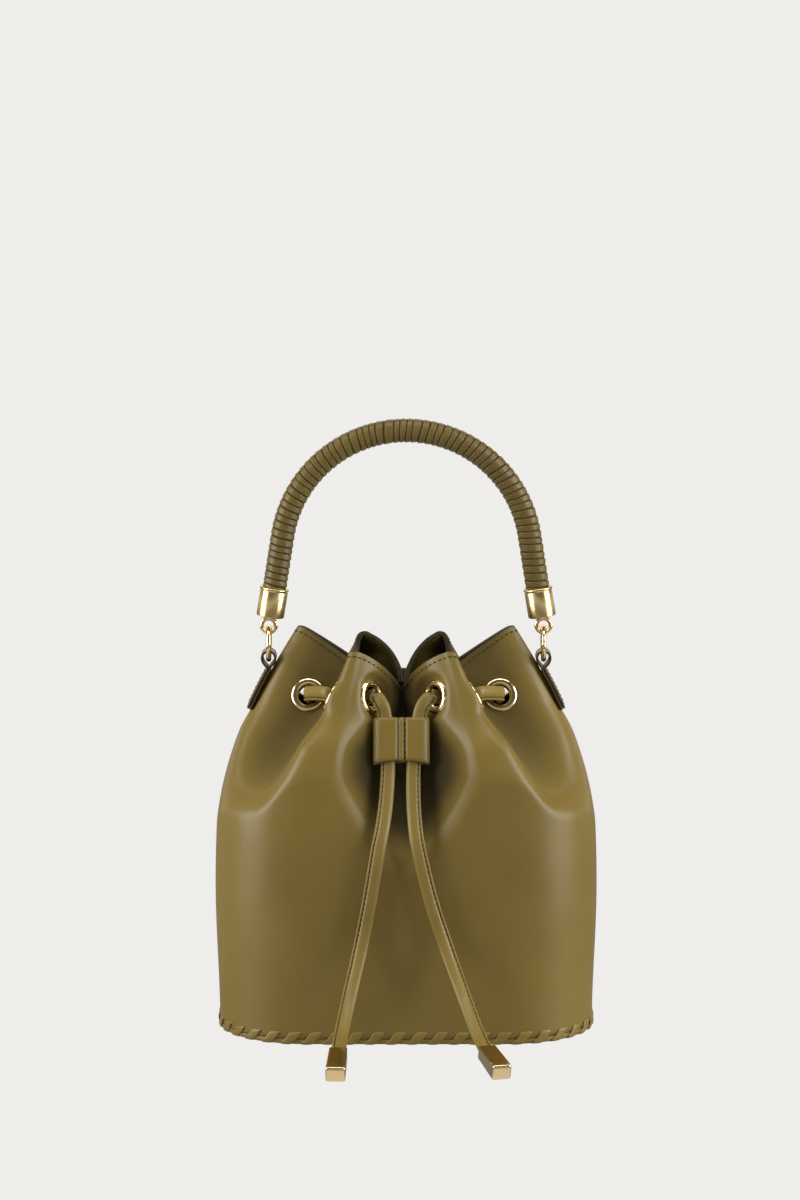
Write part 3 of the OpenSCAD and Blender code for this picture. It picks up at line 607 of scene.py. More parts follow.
def lining_bag():
    """A cloth bag inside the wall, with soft wrinkles that grow towards its foot, closed by a floor."""
    ts = np.linspace(0.012, FACING_FROM - 0.012, 60)
    c, t = np.meshgrid(round_columns, ts)
    face, out = wall(c, t), wall_out(c, t)
    wave = 0.5 + 0.5 * np.sin(c * 1.9 + 3 * np.sin(t * 5)) * np.sin(t * 14 + c * 0.6)
    loose = ease(np.clip(np.minimum(t, FACING_FROM - t) * 9, 0, 1))
    depth = LEATHER_T + 2 * SOFT_GAP + 0.15 + 0.9 * wave * loose
    outer, inner = face - out * depth[..., None], face - out * (depth + LINING_T)[..., None]
    outer[0, :, 2], inner[0, :, 2] = FLOOR_Z, FLOOR_Z + LINING_T
    down = [flat_row(outer[0, :, :2] * k, FLOOR_Z) for k in SHARES_OF_FLOOR]
    up = [flat_row(inner[0, :, :2] * k, FLOOR_Z + LINING_T) for k in SHARES_OF_FLOOR]
    rows = down[::-1] + list(outer) + list(inner[::-1]) + up
    points = np.concatenate(rows + [[(0, 0, FLOOR_Z), (0, 0, FLOOR_Z + LINING_T)]])
    n, m = len(rows), len(round_columns)
    return new_object("cloth_lining", points, grid_faces(n, m, True) + fan_faces(n, m))


lining = lining_bag()
lining.data.materials.append(lining_cloth)
print("lining faces:", len(lining.data.polygons))

# %% [markdown]
# ## Eyelet holes
# Each eyelet needs a round hole through the panel and the facing. A Boolean with round pins cuts
# them, since it leaves clean round walls that a grid of squares would not.

# %% Cut the eyelet holes
HOLE_R, BARREL_R = 5.5, 6.3
PIN_SIDES, PIN_OUT, PIN_IN = 40, 4.0, 9.0


def basis(out, up=(0, 0, 1)):
    """Columns of a frame whose third axis points out."""
    z = unit(out)
    x = unit(np.cross(up, z))
    return np.stack([x, np.cross(z, x), z], -1)


def hole_pins(cols):
    """One mesh of round pins through the wall."""
    points, faces, sides = [], [], PIN_SIDES
    for k, col in enumerate(cols):
        centre, out = seats[col]
        axes = basis(out)
        ring = [axes @ np.array([math.cos(a), math.sin(a), 0]) * (BARREL_R + LAYER_GAP)
                for a in np.linspace(0, 2 * math.pi, sides, endpoint=False)]
        first = len(points)
        points += [centre + p + out * PIN_OUT for p in ring] + [centre + p - out * PIN_IN for p in ring]
        faces += [(first + i, first + sides + i, first + sides + (i + 1) % sides, first + (i + 1) % sides)
                  for i in range(sides)]
        faces += [tuple(range(first, first + sides)), tuple(range(first + sides, first + 2 * sides))[::-1]]
    return new_object("pins", points, faces)


def apply_modifiers(obj):
    """Turns the evaluated object into its own plain mesh."""
    graph = bpy.context.evaluated_depsgraph_get()
    mesh = bpy.data.meshes.new_from_object(obj.evaluated_get(graph), depsgraph=graph)
    obj.modifiers.clear()
    obj.data = mesh
    return obj


def cut(obj, tool):
    mod = obj.modifiers.new("cut", "BOOLEAN")
    mod.operation, mod.solver, mod.object = "DIFFERENCE", "EXACT", tool
    bpy.context.view_layer.update()
    apply_modifiers(obj)


for cols, panel in ((FRONT_EYELETS, front_panel), (BACK_EYELETS, back_panel)):
    pins = hole_pins(cols)
    cut(panel, pins)
    cut(facing, pins)
    bpy.data.objects.remove(pins)


def finish_piece(obj, body, nodes=()):
    """Hands a finished piece to the frame."""
    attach(obj, body)
    if nodes:
        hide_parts(*nodes)
    print(f"{obj.name}: {len(obj.data.polygons)} faces on {body}")


finish_piece(front_panel, "bag", ["front_panel"])
finish_piece(back_panel, "bag", ["back_panel"])
finish_piece(facing, "bag", ["mouth_facing"])
finish_piece(lining, "bag", ["lining"])

# %% [markdown]
# ## A tree that repeats a small piece
# Stitches, lacing and eyelets are all one small piece set down many times. One Geometry Nodes tree
# does it for all of them: it takes points that carry two directions, `along` and `out`, turns the
# small piece to them, makes the copies real and gives them a material. Its inputs are the small
# piece, its scale and the material.

# %% Start and finish of a Geometry Nodes tree
def start_tree(name, inputs):
    """A tree with geometry in, named inputs of a kind and a usual value, and geometry out."""
    tree = bpy.data.node_groups.new(name, "GeometryNodeTree")
    for label, (kind, usual) in inputs.items():
        socket = tree.interface.new_socket(label, in_out="INPUT", socket_type="NodeSocket" + kind)
        if usual is not None:
            socket.default_value = usual
    tree.interface.new_socket("Geometry", in_out="OUTPUT", socket_type="NodeSocketGeometry")
    return tree, tree.nodes.new("NodeGroupInput")


def finish_tree(tree, given, made):
    """Makes instances real and gives them the material, because the export drops instances."""
    add, link = tree.nodes.new, tree.links.new
    real, paint, result = (add("GeometryNodeRealizeInstances"), add("GeometryNodeSetMaterial"),
                           add("NodeGroupOutput"))
    link(made, real.inputs["Geometry"])
    link(real.outputs["Geometry"], paint.inputs["Geometry"])
    link(given.outputs["Material"], paint.inputs["Material"])
    link(paint.outputs["Geometry"], result.inputs["Geometry"])
    return tree


# %% Repeater
def repeater_tree():
    tree, given = start_tree("repeat_on_points", {
        "Geometry": ("Geometry", None), "Piece": ("Object", None), "Scale": ("Float", 1.0),
        "Material": ("Material", None)})
    add, link = tree.nodes.new, tree.links.new
    info = add("GeometryNodeObjectInfo")
    link(given.outputs["Piece"], info.inputs["Object"])
    turns = None
    for axis, attribute in (("X", "along"), ("Z", "out")):
        named = add_node(tree, "GeometryNodeInputNamedAttribute", data_type="FLOAT_VECTOR", Name=attribute)
        align = add_node(tree, "FunctionNodeAlignRotationToVector", axis=axis)
        if turns is not None:
            align.pivot_axis = "X"
            link(turns, align.inputs["Rotation"])
        link(named.outputs["Attribute"], align.inputs["Vector"])
        turns = align.outputs["Rotation"]
    place = add("GeometryNodeInstanceOnPoints")
    link(given.outputs["Geometry"], place.inputs["Points"])
    link(info.outputs["Geometry"], place.inputs["Instance"])
    link(turns, place.inputs["Rotation"])
    link(given.outputs["Scale"], place.inputs["Scale"])
    return finish_tree(tree, given, place.outputs["Instances"])


repeat_on_points = repeater_tree()


def run_tree(obj, tree, **values):
    """Runs a tree on an object with these inputs and keeps the result as a plain mesh of one material."""
    mod = obj.modifiers.new(tree.name, "NODES")
    mod.node_group = tree
    for item in tree.interface.items_tree:
        if item.item_type == "SOCKET" and item.in_out == "INPUT" and item.name in values:
            mod[item.identifier] = values[item.name]
    bpy.context.view_layer.update()
    apply_modifiers(obj)
    obj.data.materials.clear()
    obj.data.materials.append(values["Material"])
    obj.data.polygons.foreach_set("material_index", [0] * len(obj.data.polygons))
    return obj


def repeat(name, places, alongs, outs, piece, material):
    """A plain mesh of piece at every place; piece is modelled in metres, X along and Z out."""
    mesh = bpy.data.meshes.new(name)
    mesh.from_pydata([tuple(p) for p in np.asarray(places) * MM], [], [])
    for key, values in (("along", alongs), ("out", outs)):
        layer = mesh.attributes.new(key, "FLOAT_VECTOR", "POINT")
        layer.data.foreach_set("vector", unit(values).astype(np.float32).ravel())
    obj = bpy.data.objects.new(name, mesh)
    scene.collection.objects.link(obj)
    run_tree(obj, repeat_on_points, Piece=piece, Material=material)
    bpy.data.objects.remove(piece)
    return obj


print("tree nodes:", len(repeat_on_points.nodes))

# %% [markdown]
# ## Stitches
# A stitch is a short bow of waxed thread whose ends dive into the leather. Each row follows a path
# at an even pitch, so the path is measured first and then cut into equal steps.

# %% Thread stitch and rows
def stitch_piece(length, radius, steps=9, sides=8):
    """One stitch, X along and Z out, sunk at both ends."""
    points = []
    for u in np.linspace(-1, 1, steps):
        r = radius * (1 - 0.75 * u ** 6) * (0.55 if abs(u) == 1 else 1)
        lift = radius * 0.55 * (1 - u * u) - radius * 0.15
        points += [(u * length / 2, r * math.sin(a), lift + r * math.cos(a))
                   for a in np.linspace(0, 2 * math.pi, sides, endpoint=False)]
    faces = grid_faces(steps, sides, True) + end_faces(steps, sides)
    return new_object("stitch", points, [f[::-1] for f in faces])


def even_steps(path, pitch):
    """Places, headings and shares at an even pitch along a path of points."""
    path = np.asarray(path, float)
    reach = np.concatenate([[0], np.cumsum(np.linalg.norm(np.diff(path, axis=0), axis=1))])
    count = max(1, int(round(reach[-1] / pitch)))
    at = (np.arange(count) + 0.5) * reach[-1] / count
    share = np.interp(at, reach, np.arange(len(path)))
    places = np.stack([np.interp(at, reach, path[:, k]) for k in range(3)], -1)
    ahead = np.stack([np.interp(at + 0.4, reach, path[:, k]) for k in range(3)], -1)
    behind = np.stack([np.interp(at - 0.4, reach, path[:, k]) for k in range(3)], -1)
    return places, unit(ahead - behind), share


def stitch_row(name, path, outs, pitch=3.2, length=2.3, radius=0.33):
    places, alongs, share = even_steps(path, pitch)
    outs = np.stack([np.interp(share, np.arange(len(outs)), np.asarray(outs)[:, k]) for k in range(3)], -1)
    return repeat(name, places, alongs, outs, stitch_piece(length, radius), thread)


def join(name, pieces):
    """Several meshes as one piece, materials kept."""
    bpy.ops.object.select_all(action="DESELECT")
    for piece in pieces:
        piece.select_set(True)
    bpy.context.view_layer.objects.active = pieces[0]
    bpy.ops.object.join()
    pieces[0].name = name
    return pieces[0]


HEM_DROP = 2.4
hem_cols = np.linspace(0, COLUMNS, 721)
hem_t = 1 - HEM_DROP / (look_top(hem_cols, mouth(hem_cols)[:, :2]) - WALL_FOOT)
hem_face, hem_out = wall(hem_cols, hem_t), wall_out(hem_cols, hem_t)
hem = join("hem_stitches", [stitch_row("hem_outside", hem_face, hem_out),
                            stitch_row("hem_inside", hem_face - hem_out * (facing_in + FACING_T), -hem_out)])
finish_piece(hem, "bag")

# %% [markdown]
# ## Eyelets
# An eyelet is pressed metal: a domed flange that rolls into a barrel. The dome mirrors the bright
# sides at its two edges and the dark room in its middle. Turning a profile round an axis makes it,
# and the repeater sets one on each seat.

# %% Turned pieces
def turned(name, profile, sides=64):
    """A closed ring of revolution about Z from a loop of (radius, height) points, in millimetres."""
    points = [(r * math.cos(a), r * math.sin(a), z) for a in np.linspace(0, 2 * math.pi, sides, endpoint=False)
              for r, z in profile]
    m = len(profile)
    faces = [(j * m + i, ((j + 1) % sides) * m + i, ((j + 1) % sides) * m + (i + 1) % m, j * m + (i + 1) % m)
             for j in range(sides) for i in range(m)]
    return new_object(name, points, faces)


def arc_points(cx, cy, r, start, end, steps):
    return [(cx + r * math.cos(math.radians(a)), cy + r * math.sin(math.radians(a)))
            for a in np.linspace(start, end, steps)]


SEAT, EYELET_R = -0.4, 9.5


def eyelet_piece():
    """Flange seat at SEAT below the wall's face, Z out."""
    middle, half = (EYELET_R + HOLE_R) / 2, (EYELET_R - HOLE_R) / 2
    profile = [(BARREL_R, SEAT), (EYELET_R - 0.3, SEAT)]
    profile += [(middle + half * math.cos(a), SEAT + 0.25 + 1.35 * math.sin(a) ** 0.9)
                for a in np.linspace(0.0, math.pi, 15)]
    profile += [(HOLE_R, -3.9), (HOLE_R + 0.25, -4.3), (BARREL_R + 0.6, -4.4), (BARREL_R + 0.7, -4.0),
                (BARREL_R, -3.7)]
    return turned("eyelet", profile)


def eyelet_set(name, cols):
    places = [seats[c][0] for c in cols]
    outs = [seats[c][1] for c in cols]
    alongs = [basis(o)[:, 0] for o in outs]
    return repeat(name, places, alongs, outs, eyelet_piece(), gold)


finish_piece(eyelet_set("eyelets_front", FRONT_EYELETS), "bag", ["front_eyelets"])
finish_piece(eyelet_set("eyelets_back", BACK_EYELETS), "bag", ["back_eyelets"])

# %% [markdown]
# ## Straps
# The drawstring is a strip folded round a filler and stitched along one side: one side is a round
# fold, the other a thin lip with a row of stitches in a groove. A cross-section swept along the
# route gives exactly that. The same route that the CAD uses keeps it clear of the bag.

# %% Sweep along a path
STRAP_W, STRAP_T = 8.0, 3.2


def smooth_path(points, steps):
    """A smooth line through given points, each stretch cut into equal steps."""
    p = np.asarray(points, float)
    out = []
    for k in range(len(p) - 1):
        a, b, c, d = p[max(k - 1, 0)], p[k], p[k + 1], p[min(k + 2, len(p) - 1)]
        out += [hermite(b, (c - a) / 2, c, (d - b) / 2, j / steps) for j in range(steps)]
    return np.array(out + [p[-1]])


def headings(path):
    h = np.zeros_like(path)
    h[1:-1] = path[2:] - path[:-2]
    h[0], h[-1] = path[1] - path[0], path[-1] - path[-2]
    return unit(h)


def frames(path, faces):
    """Side and face directions along a path."""
    h = headings(path)
    n = unit(faces - h * np.sum(faces * h, -1, keepdims=True))
    return np.cross(h, n), n


def closed_curve(points, steps):
    """A round outline through a closed list of points."""
    p = np.asarray(points, float)
    m = len(p)
    return np.array([hermite(p[k], (p[(k + 1) % m] - p[k - 1]) / 2, p[(k + 1) % m],
                             (p[(k + 2) % m] - p[k]) / 2, j / steps) for k in range(m) for j in range(steps)])


STRAP_SECTION = closed_curve([(-1, -0.1), (-0.93, -0.62), (-0.72, -0.93), (0, -1), (0.72, -0.93), (0.95, -0.7),
                              (1, -0.1), (0.96, 0.46), (0.85, 0.68), (0.73, 0.62), (0.63, 0.38), (0.53, 0.60),
                              (0.30, 0.94), (-0.12, 1.06), (-0.55, 0.86), (-0.88, 0.36)], 3)
STITCH_LINE = (0.63, 0.42)
print("strap section points:", len(STRAP_SECTION))


def outward(obj):
    """Points all faces out."""
    mesh = bmesh.new()
    mesh.from_mesh(obj.data)
    bmesh.ops.recalc_face_normals(mesh, faces=mesh.faces)
    mesh.to_mesh(obj.data)
    mesh.free()
    return obj


def ring_solid(name, points, rows):
    """A closed solid through rows of equally many points, faces out."""
    m = len(points) // rows
    return outward(new_object(name, points, grid_faces(rows, m, True) + end_faces(rows, m)))


def swept(name, path, sides, faces_dir, section):
    """A closed solid of a section swept along a path. side and face directions are given per place."""
    rings = [p + np.outer(section[:, 0], s) + np.outer(section[:, 1], n)
             for p, s, n in zip(path, sides, faces_dir)]
    return ring_solid(name, np.concatenate(rings), len(path))


def strap(name, path, face_dirs, lip):
    """A folded strap and its stitches. lip is 1 or -1, the side that holds the stitched lip."""
    side, n = frames(path, face_dirs)
    section = STRAP_SECTION * [lip * STRAP_W / 2, STRAP_T / 2]
    body = swept(name, path, side, n, section)
    body.data.materials.append(strap_leather)
    seam = path + side * (lip * STITCH_LINE[0] * STRAP_W / 2) + n * (STITCH_LINE[1] * STRAP_T / 2)
    stitches = stitch_row(name + "_seam", seam[3:-3], n[3:-3], 3.0, 2.2, 0.30)
    return join(name, [body, stitches])


# %% Free ends of the drawstring
TAIL_LEFT = [
    [-18.9, -33.6, 189.6], [-16.9, -35.2, 190.1], [-13.8, -38.4, 186.5], [-11.8, -39.5, 180.0],
    [-10.4, -44.3, 166.0],
    [-10.0, -49.5, 152.0], [-11.0, -57.0, 136.0], [-13.0, -63.5, 122.0], [-15.5, -67.0, 110.0],
    [-20.0, -68.5, 83.0], [-25.0, -70.0, 57.0], [-31.0, -84.0, 33.0], [-35.0, -104.0, 18.0],
    [-36.4, -122.0, 11.4]]
TAIL_RIGHT = [
    [15.6, -33.8, 189.6], [13.8, -35.3, 190.0], [9.8, -38.4, 186.5], [7.4, -39.5, 180.0],
    [5.4, -44.3, 166.0],
    [4.0, -49.5, 152.0], [4.0, -57.0, 136.0], [5.0, -63.5, 122.0], [7.0, -67.0, 110.0],
    [13.5, -68.5, 83.0], [22.0, -70.0, 57.0], [31.5, -84.0, 33.0], [38.5, -104.0, 18.0],
    [43.0, -120.0, 11.8]]
CAP_TILT, CAP_SOCKET, CAP_L = 12.0, 9.0, 26.0


def cap_heading(yaw):
    a, b = math.radians(yaw), math.radians(CAP_TILT)
    return np.array([math.sin(a) * math.cos(b), -math.cos(a) * math.cos(b), -math.sin(b)])


def tail_faces(path):
    """The strap turns from edge-on at its eyelet to flat on the belly, and flat on the floor."""
    h = headings(path)
    f = np.linspace(0, 1, len(path))[:, None]
    front, top = np.array([0, -1.0, 0]), np.array([0, 0, 1.0])
    start = -np.cross(h, top) * np.sign(h[:, :1] + 0.001)
    return np.where(f < 0.12, lerp(start, front, f / 0.12),
                    lerp(front, top, ease(np.clip((f - 0.62) / 0.26, 0, 1))))


def tail(name, route, yaw, lip):
    """A free end with its last stretch inside the cap, and its path."""
    end = np.array(route[-1])
    socket = [end + cap_heading(yaw) * d for d in (2.5, 5.5, CAP_SOCKET - 0.4)]
    path = np.concatenate([smooth_path(route, 10), socket])
    return strap(name, path, tail_faces(path), lip), path


def length_of(path):
    return float(np.sum(np.linalg.norm(np.diff(path, axis=0), axis=1)))


left_tail = tail("strap_end_left", TAIL_LEFT, -3, 1)
right_tail = tail("strap_end_right", TAIL_RIGHT, 18, -1)
print("free ends:", round(length_of(left_tail[1])), round(length_of(right_tail[1])), "mm")

# %% [markdown]
# ## End caps
# Each strap ends in a cast cap: a square socket, sides that flare a little and a softened end. It is
# a row of rounded rectangles set one after another along the strap's last direction, joined into
# one closed solid, so the inside of the socket comes with it.

# %% End caps
CAP_W, CAP_T, CAP_FLARE = 9.6, 7.6, 0.9


def rounded_box(w, t, r, per=5):
    """Outline of a rectangle with round corners."""
    points = []
    for cx, cy, start in ((1, 1, 0), (-1, 1, 90), (-1, -1, 180), (1, -1, 270)):
        points += arc_points(cx * (w / 2 - r), cy * (t / 2 - r), r, start, start + 90, per)
    return np.array(points)


def cap(name, route, yaw):
    """A cast cap: square socket, sides that flare a little, softened end."""
    end, h = np.array(route[-1]), cap_heading(yaw)
    side = unit(np.cross(h, [0, 0, 1]))
    up = np.cross(side, h)
    socket_w, socket_t = STRAP_W + 0.6, STRAP_T + 0.6
    inside = [(CAP_SOCKET, socket_w, socket_t, 0.4), (0.25, socket_w, socket_t, 0.4),
              (0.0, socket_w + 0.3, socket_t + 0.4, 0.5)]
    outside = [(0.0, CAP_W - 0.5, CAP_T - 0.5, 0.7), (0.12, CAP_W - 0.16, CAP_T - 0.16, 0.85),
               (0.4, CAP_W, CAP_T, 0.9)]
    for share in (0.25, 0.5, 0.75):
        outside.append((CAP_L * share, CAP_W + CAP_FLARE * share, CAP_T + CAP_FLARE * share, 0.9))
    for back, less in ((1.15, 0.0), (0.7, 0.12), (0.33, 0.42), (0.1, 0.86), (0.0, 1.35)):
        outside.append((CAP_L - back, CAP_W + CAP_FLARE - 2 * less, CAP_T + CAP_FLARE - 2 * less, 0.95))
    points = []
    for along, w, t, r in inside + outside:
        points += [end + h * along + side * a + up * b for a, b in rounded_box(w, t, r)]
    obj = ring_solid(name, points, len(inside) + len(outside))
    obj.data.materials.append(gold)
    return obj


for (piece, path), route, yaw, node in ((left_tail, TAIL_LEFT, -3, "left"),
                                        (right_tail, TAIL_RIGHT, 18, "right")):
    end_cap = cap("cap_" + node, route, yaw)
    finish_piece(piece, "bag", ["drawstring_tail_" + node])
    finish_piece(end_cap, "bag", ["end_cap_" + node])

# %% [markdown]
# ## The laced stretch
# Between its free ends the strap runs through all twelve eyelets, in at one and out at the next. The
# route is worked out from the eyelets' own places, so it meets them wherever they are moved.

# %% The laced stretch round the mouth
STACK_T = LEATHER_T + LAYER_GAP + FACING_T
TURN_OUT, TURN_IN, STRAP_MID = 4.5, -STACK_T - 4.0, -0.5
LACING_ORDER = [3.5, 9, 14, 22, 27, 32.5, 39.5, 45, 50, 58, 63, 68.5]


def laced_route():
    """Through each eyelet in turn, in at one and out at the next."""
    route = []
    for k, col in enumerate(LACING_ORDER):
        place, out = seats[col]
        first, then = (TURN_OUT, TURN_IN) if k % 2 == 0 else (TURN_IN, TURN_OUT)
        if k > 0:
            route.append(place + out * first)
        route.append(place + out * STRAP_MID)
        if k < len(LACING_ORDER) - 1:
            route.append(place + out * then)
    return smooth_path(route, 8)


loop_path = laced_route()
loop_strap = strap("strap_laced", loop_path, np.cross(headings(loop_path), [0, 0, 1.0]), 1)
finish_piece(loop_strap, "bag", ["drawstring_loop"])
print("laced stretch:", round(length_of(loop_path)), "mm")

# %% [markdown]
# ## Slider
# The slider is one strip of leather wrapped round both straps and sewn through its middle, which
# leaves two tunnels. Its outside is swept from one outline with a welt at the seam, the tunnels are
# cut out, and the cut ends show the paler raw strip.

# %% Slider
SLIDER_LOW, SLIDER_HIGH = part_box("slider")
slider_centre = np.array((SLIDER_LOW + SLIDER_HIGH) / 2) / MM
SLIDER_TILT = math.radians(20)
slider_up = np.array([0, math.sin(SLIDER_TILT), math.cos(SLIDER_TILT)])
slider_front = np.array([0, -math.cos(SLIDER_TILT), math.sin(SLIDER_TILT)])
slider_side = np.array([1.0, 0, 0])
SLIDER_W, SLIDER_T, SLIDER_L, SLIDER_WALL = 31.0, 8.6, 26.0, 1.15
SIDE_ROUND, EDGE_ARCH, EDGE_SOFT, TUNNEL_INNER, SEAM_X = 5.6, 2.4, 0.35, 2.3, 1.9


def slider_outline():
    """Front and back lines of the section, round at both sides, with a raised welt beside the seam."""
    w, t = SLIDER_W / 2, SLIDER_T / 2
    xs = w * np.sin(np.linspace(-math.pi / 2, math.pi / 2, 121))
    over = np.clip((np.abs(xs) - w) / SIDE_ROUND + 1, 0, 1)
    body = t * np.sqrt(1 - over ** 2) - 0.5 * (np.abs(xs) / 7.5 - 1) ** 2 * (1 - over)
    pinch = 1.15 * np.exp(-((xs + SEAM_X) / 0.75) ** 2) + 1.3 * np.exp(-((xs - 1.8) / 0.8) ** 2)
    valley = 0.25 * np.exp(-(xs / 3.2) ** 2)
    front = np.stack([xs, body - pinch - valley], -1)
    back = np.stack([xs[::-1], -body[::-1]], -1)
    return np.concatenate([front[:-1], back[:-1]])


def edge_arch(x):
    """How far the lower edge rises between the middle and the sides of each loop."""
    return EDGE_ARCH * (1 - (2 * x / SLIDER_W) ** 2)


def tunnel_outline(side):
    w, t = SLIDER_W / 2 - SLIDER_WALL - TUNNEL_INNER, SLIDER_T - 2 * SLIDER_WALL
    return rounded_box(w, t, t / 2 - 0.3, 9) + [side * (TUNNEL_INNER + w / 2), 0]


def slider_body():
    """The wrapped strip with both tunnels cut through it."""
    rings = []
    for u in np.linspace(-1, 1, 15):
        soft = 2 * EDGE_SOFT * max(0, abs(u) - 0.96) / 0.04
        ring = slider_outline() * [1 - soft / SLIDER_W, 1 - soft / SLIDER_T]
        lift = edge_arch(ring[:, 0]) * max(0, -u)
        rings.append(slider_centre + np.outer(ring[:, 0], slider_side) + np.outer(ring[:, 1], slider_front)
                     + np.outer(lift + u * SLIDER_L / 2, slider_up))
    body = ring_solid("slider_strip", np.concatenate(rings), len(rings))
    long_path = [slider_centre + slider_up * u * SLIDER_L for u in (-1, 1)]
    for side in (-1, 1):
        tool = swept("tunnel", long_path, [slider_side] * 2, [slider_front] * 2, tunnel_outline(side))
        cut(body, tool)
        bpy.data.objects.remove(tool)
    axis = Vector(slider_up)
    two_materials(body, body_leather, strap_leather, lambda poly: abs(poly.normal.dot(axis)) > 0.5)
    return body


seam_line = [slider_centre + slider_up * u * (SLIDER_L / 2 - 2.2) + slider_front * (SLIDER_T / 2 - 1.35)
             + slider_side * SEAM_X for u in np.linspace(-1, 1, 20)]
seam = stitch_row("slider_seam", seam_line, [slider_front] * 20, 3.0, 2.2, 0.32)
slider = join("slider_leather", [slider_body(), seam])
finish_piece(slider, "slider", ["slider"])

# %% [markdown]
# ## Base and lacing
# The base is a thick leather plate, dished underneath so that only its middle meets the table. A
# flat lace whips round its rim: each stitch comes out of a slit in the wall, slants down over the
# rim and tucks under the base. One stitch is modelled and the repeater walks it round the rim.

# %% Base plate
def base_plate():
    """Rows of the plate's outline, from the middle of its underside round the edge to its top."""
    cols = np.arange(0, COLUMNS, 0.25)
    profile = [(40, 0), (9.4, 0), (8.6, 0.12), (8.1, 0.5), (7.6, 0.9), (6.8, 1.1), (2.6, 1.0), (1.4, 0.75),
               (0.5, 0.9), (0.0, 1.35), (-0.25, 2.0), (-0.25, 2.9), (-0.1, WALL_FOOT - 0.35),
               (0.25, WALL_FOOT - 0.12), (1.2, WALL_FOOT - 0.06), (40, WALL_FOOT - 0.06)]
    rows = [flat_row(base_outline(cols, inset), z) for inset, z in profile]
    points = np.concatenate(rows + [[(0, 0, 0), (0, 0, WALL_FOOT - 0.02)]])
    n, m = len(rows), len(cols)
    obj = outward(new_object("base_leather", points, grid_faces(n, m, True) + fan_faces(n, m)))
    painted = range(5 * m, 9 * m)
    two_materials(obj, body_leather, edge_paint, lambda poly: poly.index in painted)
    return obj


finish_piece(base_plate(), "bag", ["base_panel"])

# %% One lace stitch and the rim
LACE_STITCHES, LACE_W, LACE_T, LACE_H, LACE_SLANT = 50, 6.4, 0.9, 7.4, 2.6


def lace_piece():
    """X along the rim, Z out of the wall, Y up: the lace lies on the wall and turns under the rim."""
    line = [(LACE_SLANT + 0.2, LACE_H + 0.1, -1.2), (LACE_SLANT + 0.1, LACE_H - 0.05, -0.35),
            (LACE_SLANT * 0.85, LACE_H - 0.55, 0.2), (LACE_SLANT * 0.6, LACE_H - 1.5, 0.45),
            (0, LACE_H / 2, 0.5), (-LACE_SLANT * 0.75, 2.4, 0.45), (-LACE_SLANT * 0.95, 1.5, 0.15),
            (-LACE_SLANT * 1.05, 1.05, -0.5), (-LACE_SLANT * 1.4, 0.68, -5.4), (-LACE_SLANT * 1.5, 1.2, -6.4)]
    path = smooth_path(line, 5)
    h = headings(path)
    across_dir = np.tile([1.0, 0, 0], (len(path), 1))
    n = unit(np.cross(h, across_dir))
    n = n * np.where(n[:, 2:3] + n[:, 1:2] * -0.3 < 0, -1, 1)
    section = closed_curve([(-1, 0), (-0.8, 0.8), (0, 1.15), (0.8, 0.8), (1, 0), (0.8, -0.8), (0, -0.9),
                            (-0.8, -0.8)], 2)
    return swept("lace", path, across_dir, n, section * [LACE_W / 2, LACE_T / 2])


def rim_places(count):
    """Places on the rim, the directions along it and the directions out of it."""
    cols = (np.arange(count) + 0.5) * COLUMNS / count
    tangent = flat_row(unit(base_outline(cols + 0.05) - base_outline(cols - 0.05)), 0)
    return flat_row(base_outline(cols), 0), tangent, tangent[:, [1, 0, 2]] * [1, -1, 1]


lacing = repeat("rim_lacing", *rim_places(LACE_STITCHES), lace_piece(), lace_leather)
finish_piece(lacing, "bag", ["base_lacing"])
print("lace stitches:", LACE_STITCHES)

# %% [markdown]
# ## Side tabs
# Each ring hangs in a strap that is folded in half round it and sewn to the corner of the wall. The
# strap is swept along its fold in the plane of the ring, with painted edges and two stitch rows.

# %% Tabs
TAB_W, TAB_T, NECK_DROP, TAB_REACH = 12.0, 1.3, 24.5, 22.0
ring_low, ring_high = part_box("ring_right")
RING_X, RING_Z = (ring_low.x + ring_high.x) / 2 / MM, (ring_low.z + ring_high.z) / 2 / MM
RING_R, RING_WIRE, LOOP_R = 9.0, 1.4, 3.085
NECK_Z, TAB_ROW_Y = BODY_HEIGHT - NECK_DROP, 4.3


def loop_height():
    """Middle of the tab's loop, from the ring that hangs in it."""
    slope = math.acos(TAB_W / 2 / RING_R)
    above = RING_R * (1 - math.sin(slope)) + RING_WIRE / math.sin(slope) + 0.3
    below = RING_WIRE + 0.3
    return RING_Z - RING_R + (above - below) / 2


LOOP_Z = loop_height()


def corner_x(z):
    t = (z - WALL_FOOT) / (BODY_HEIGHT - WALL_FOOT)
    return raw_wall(18, t, 0)[0]


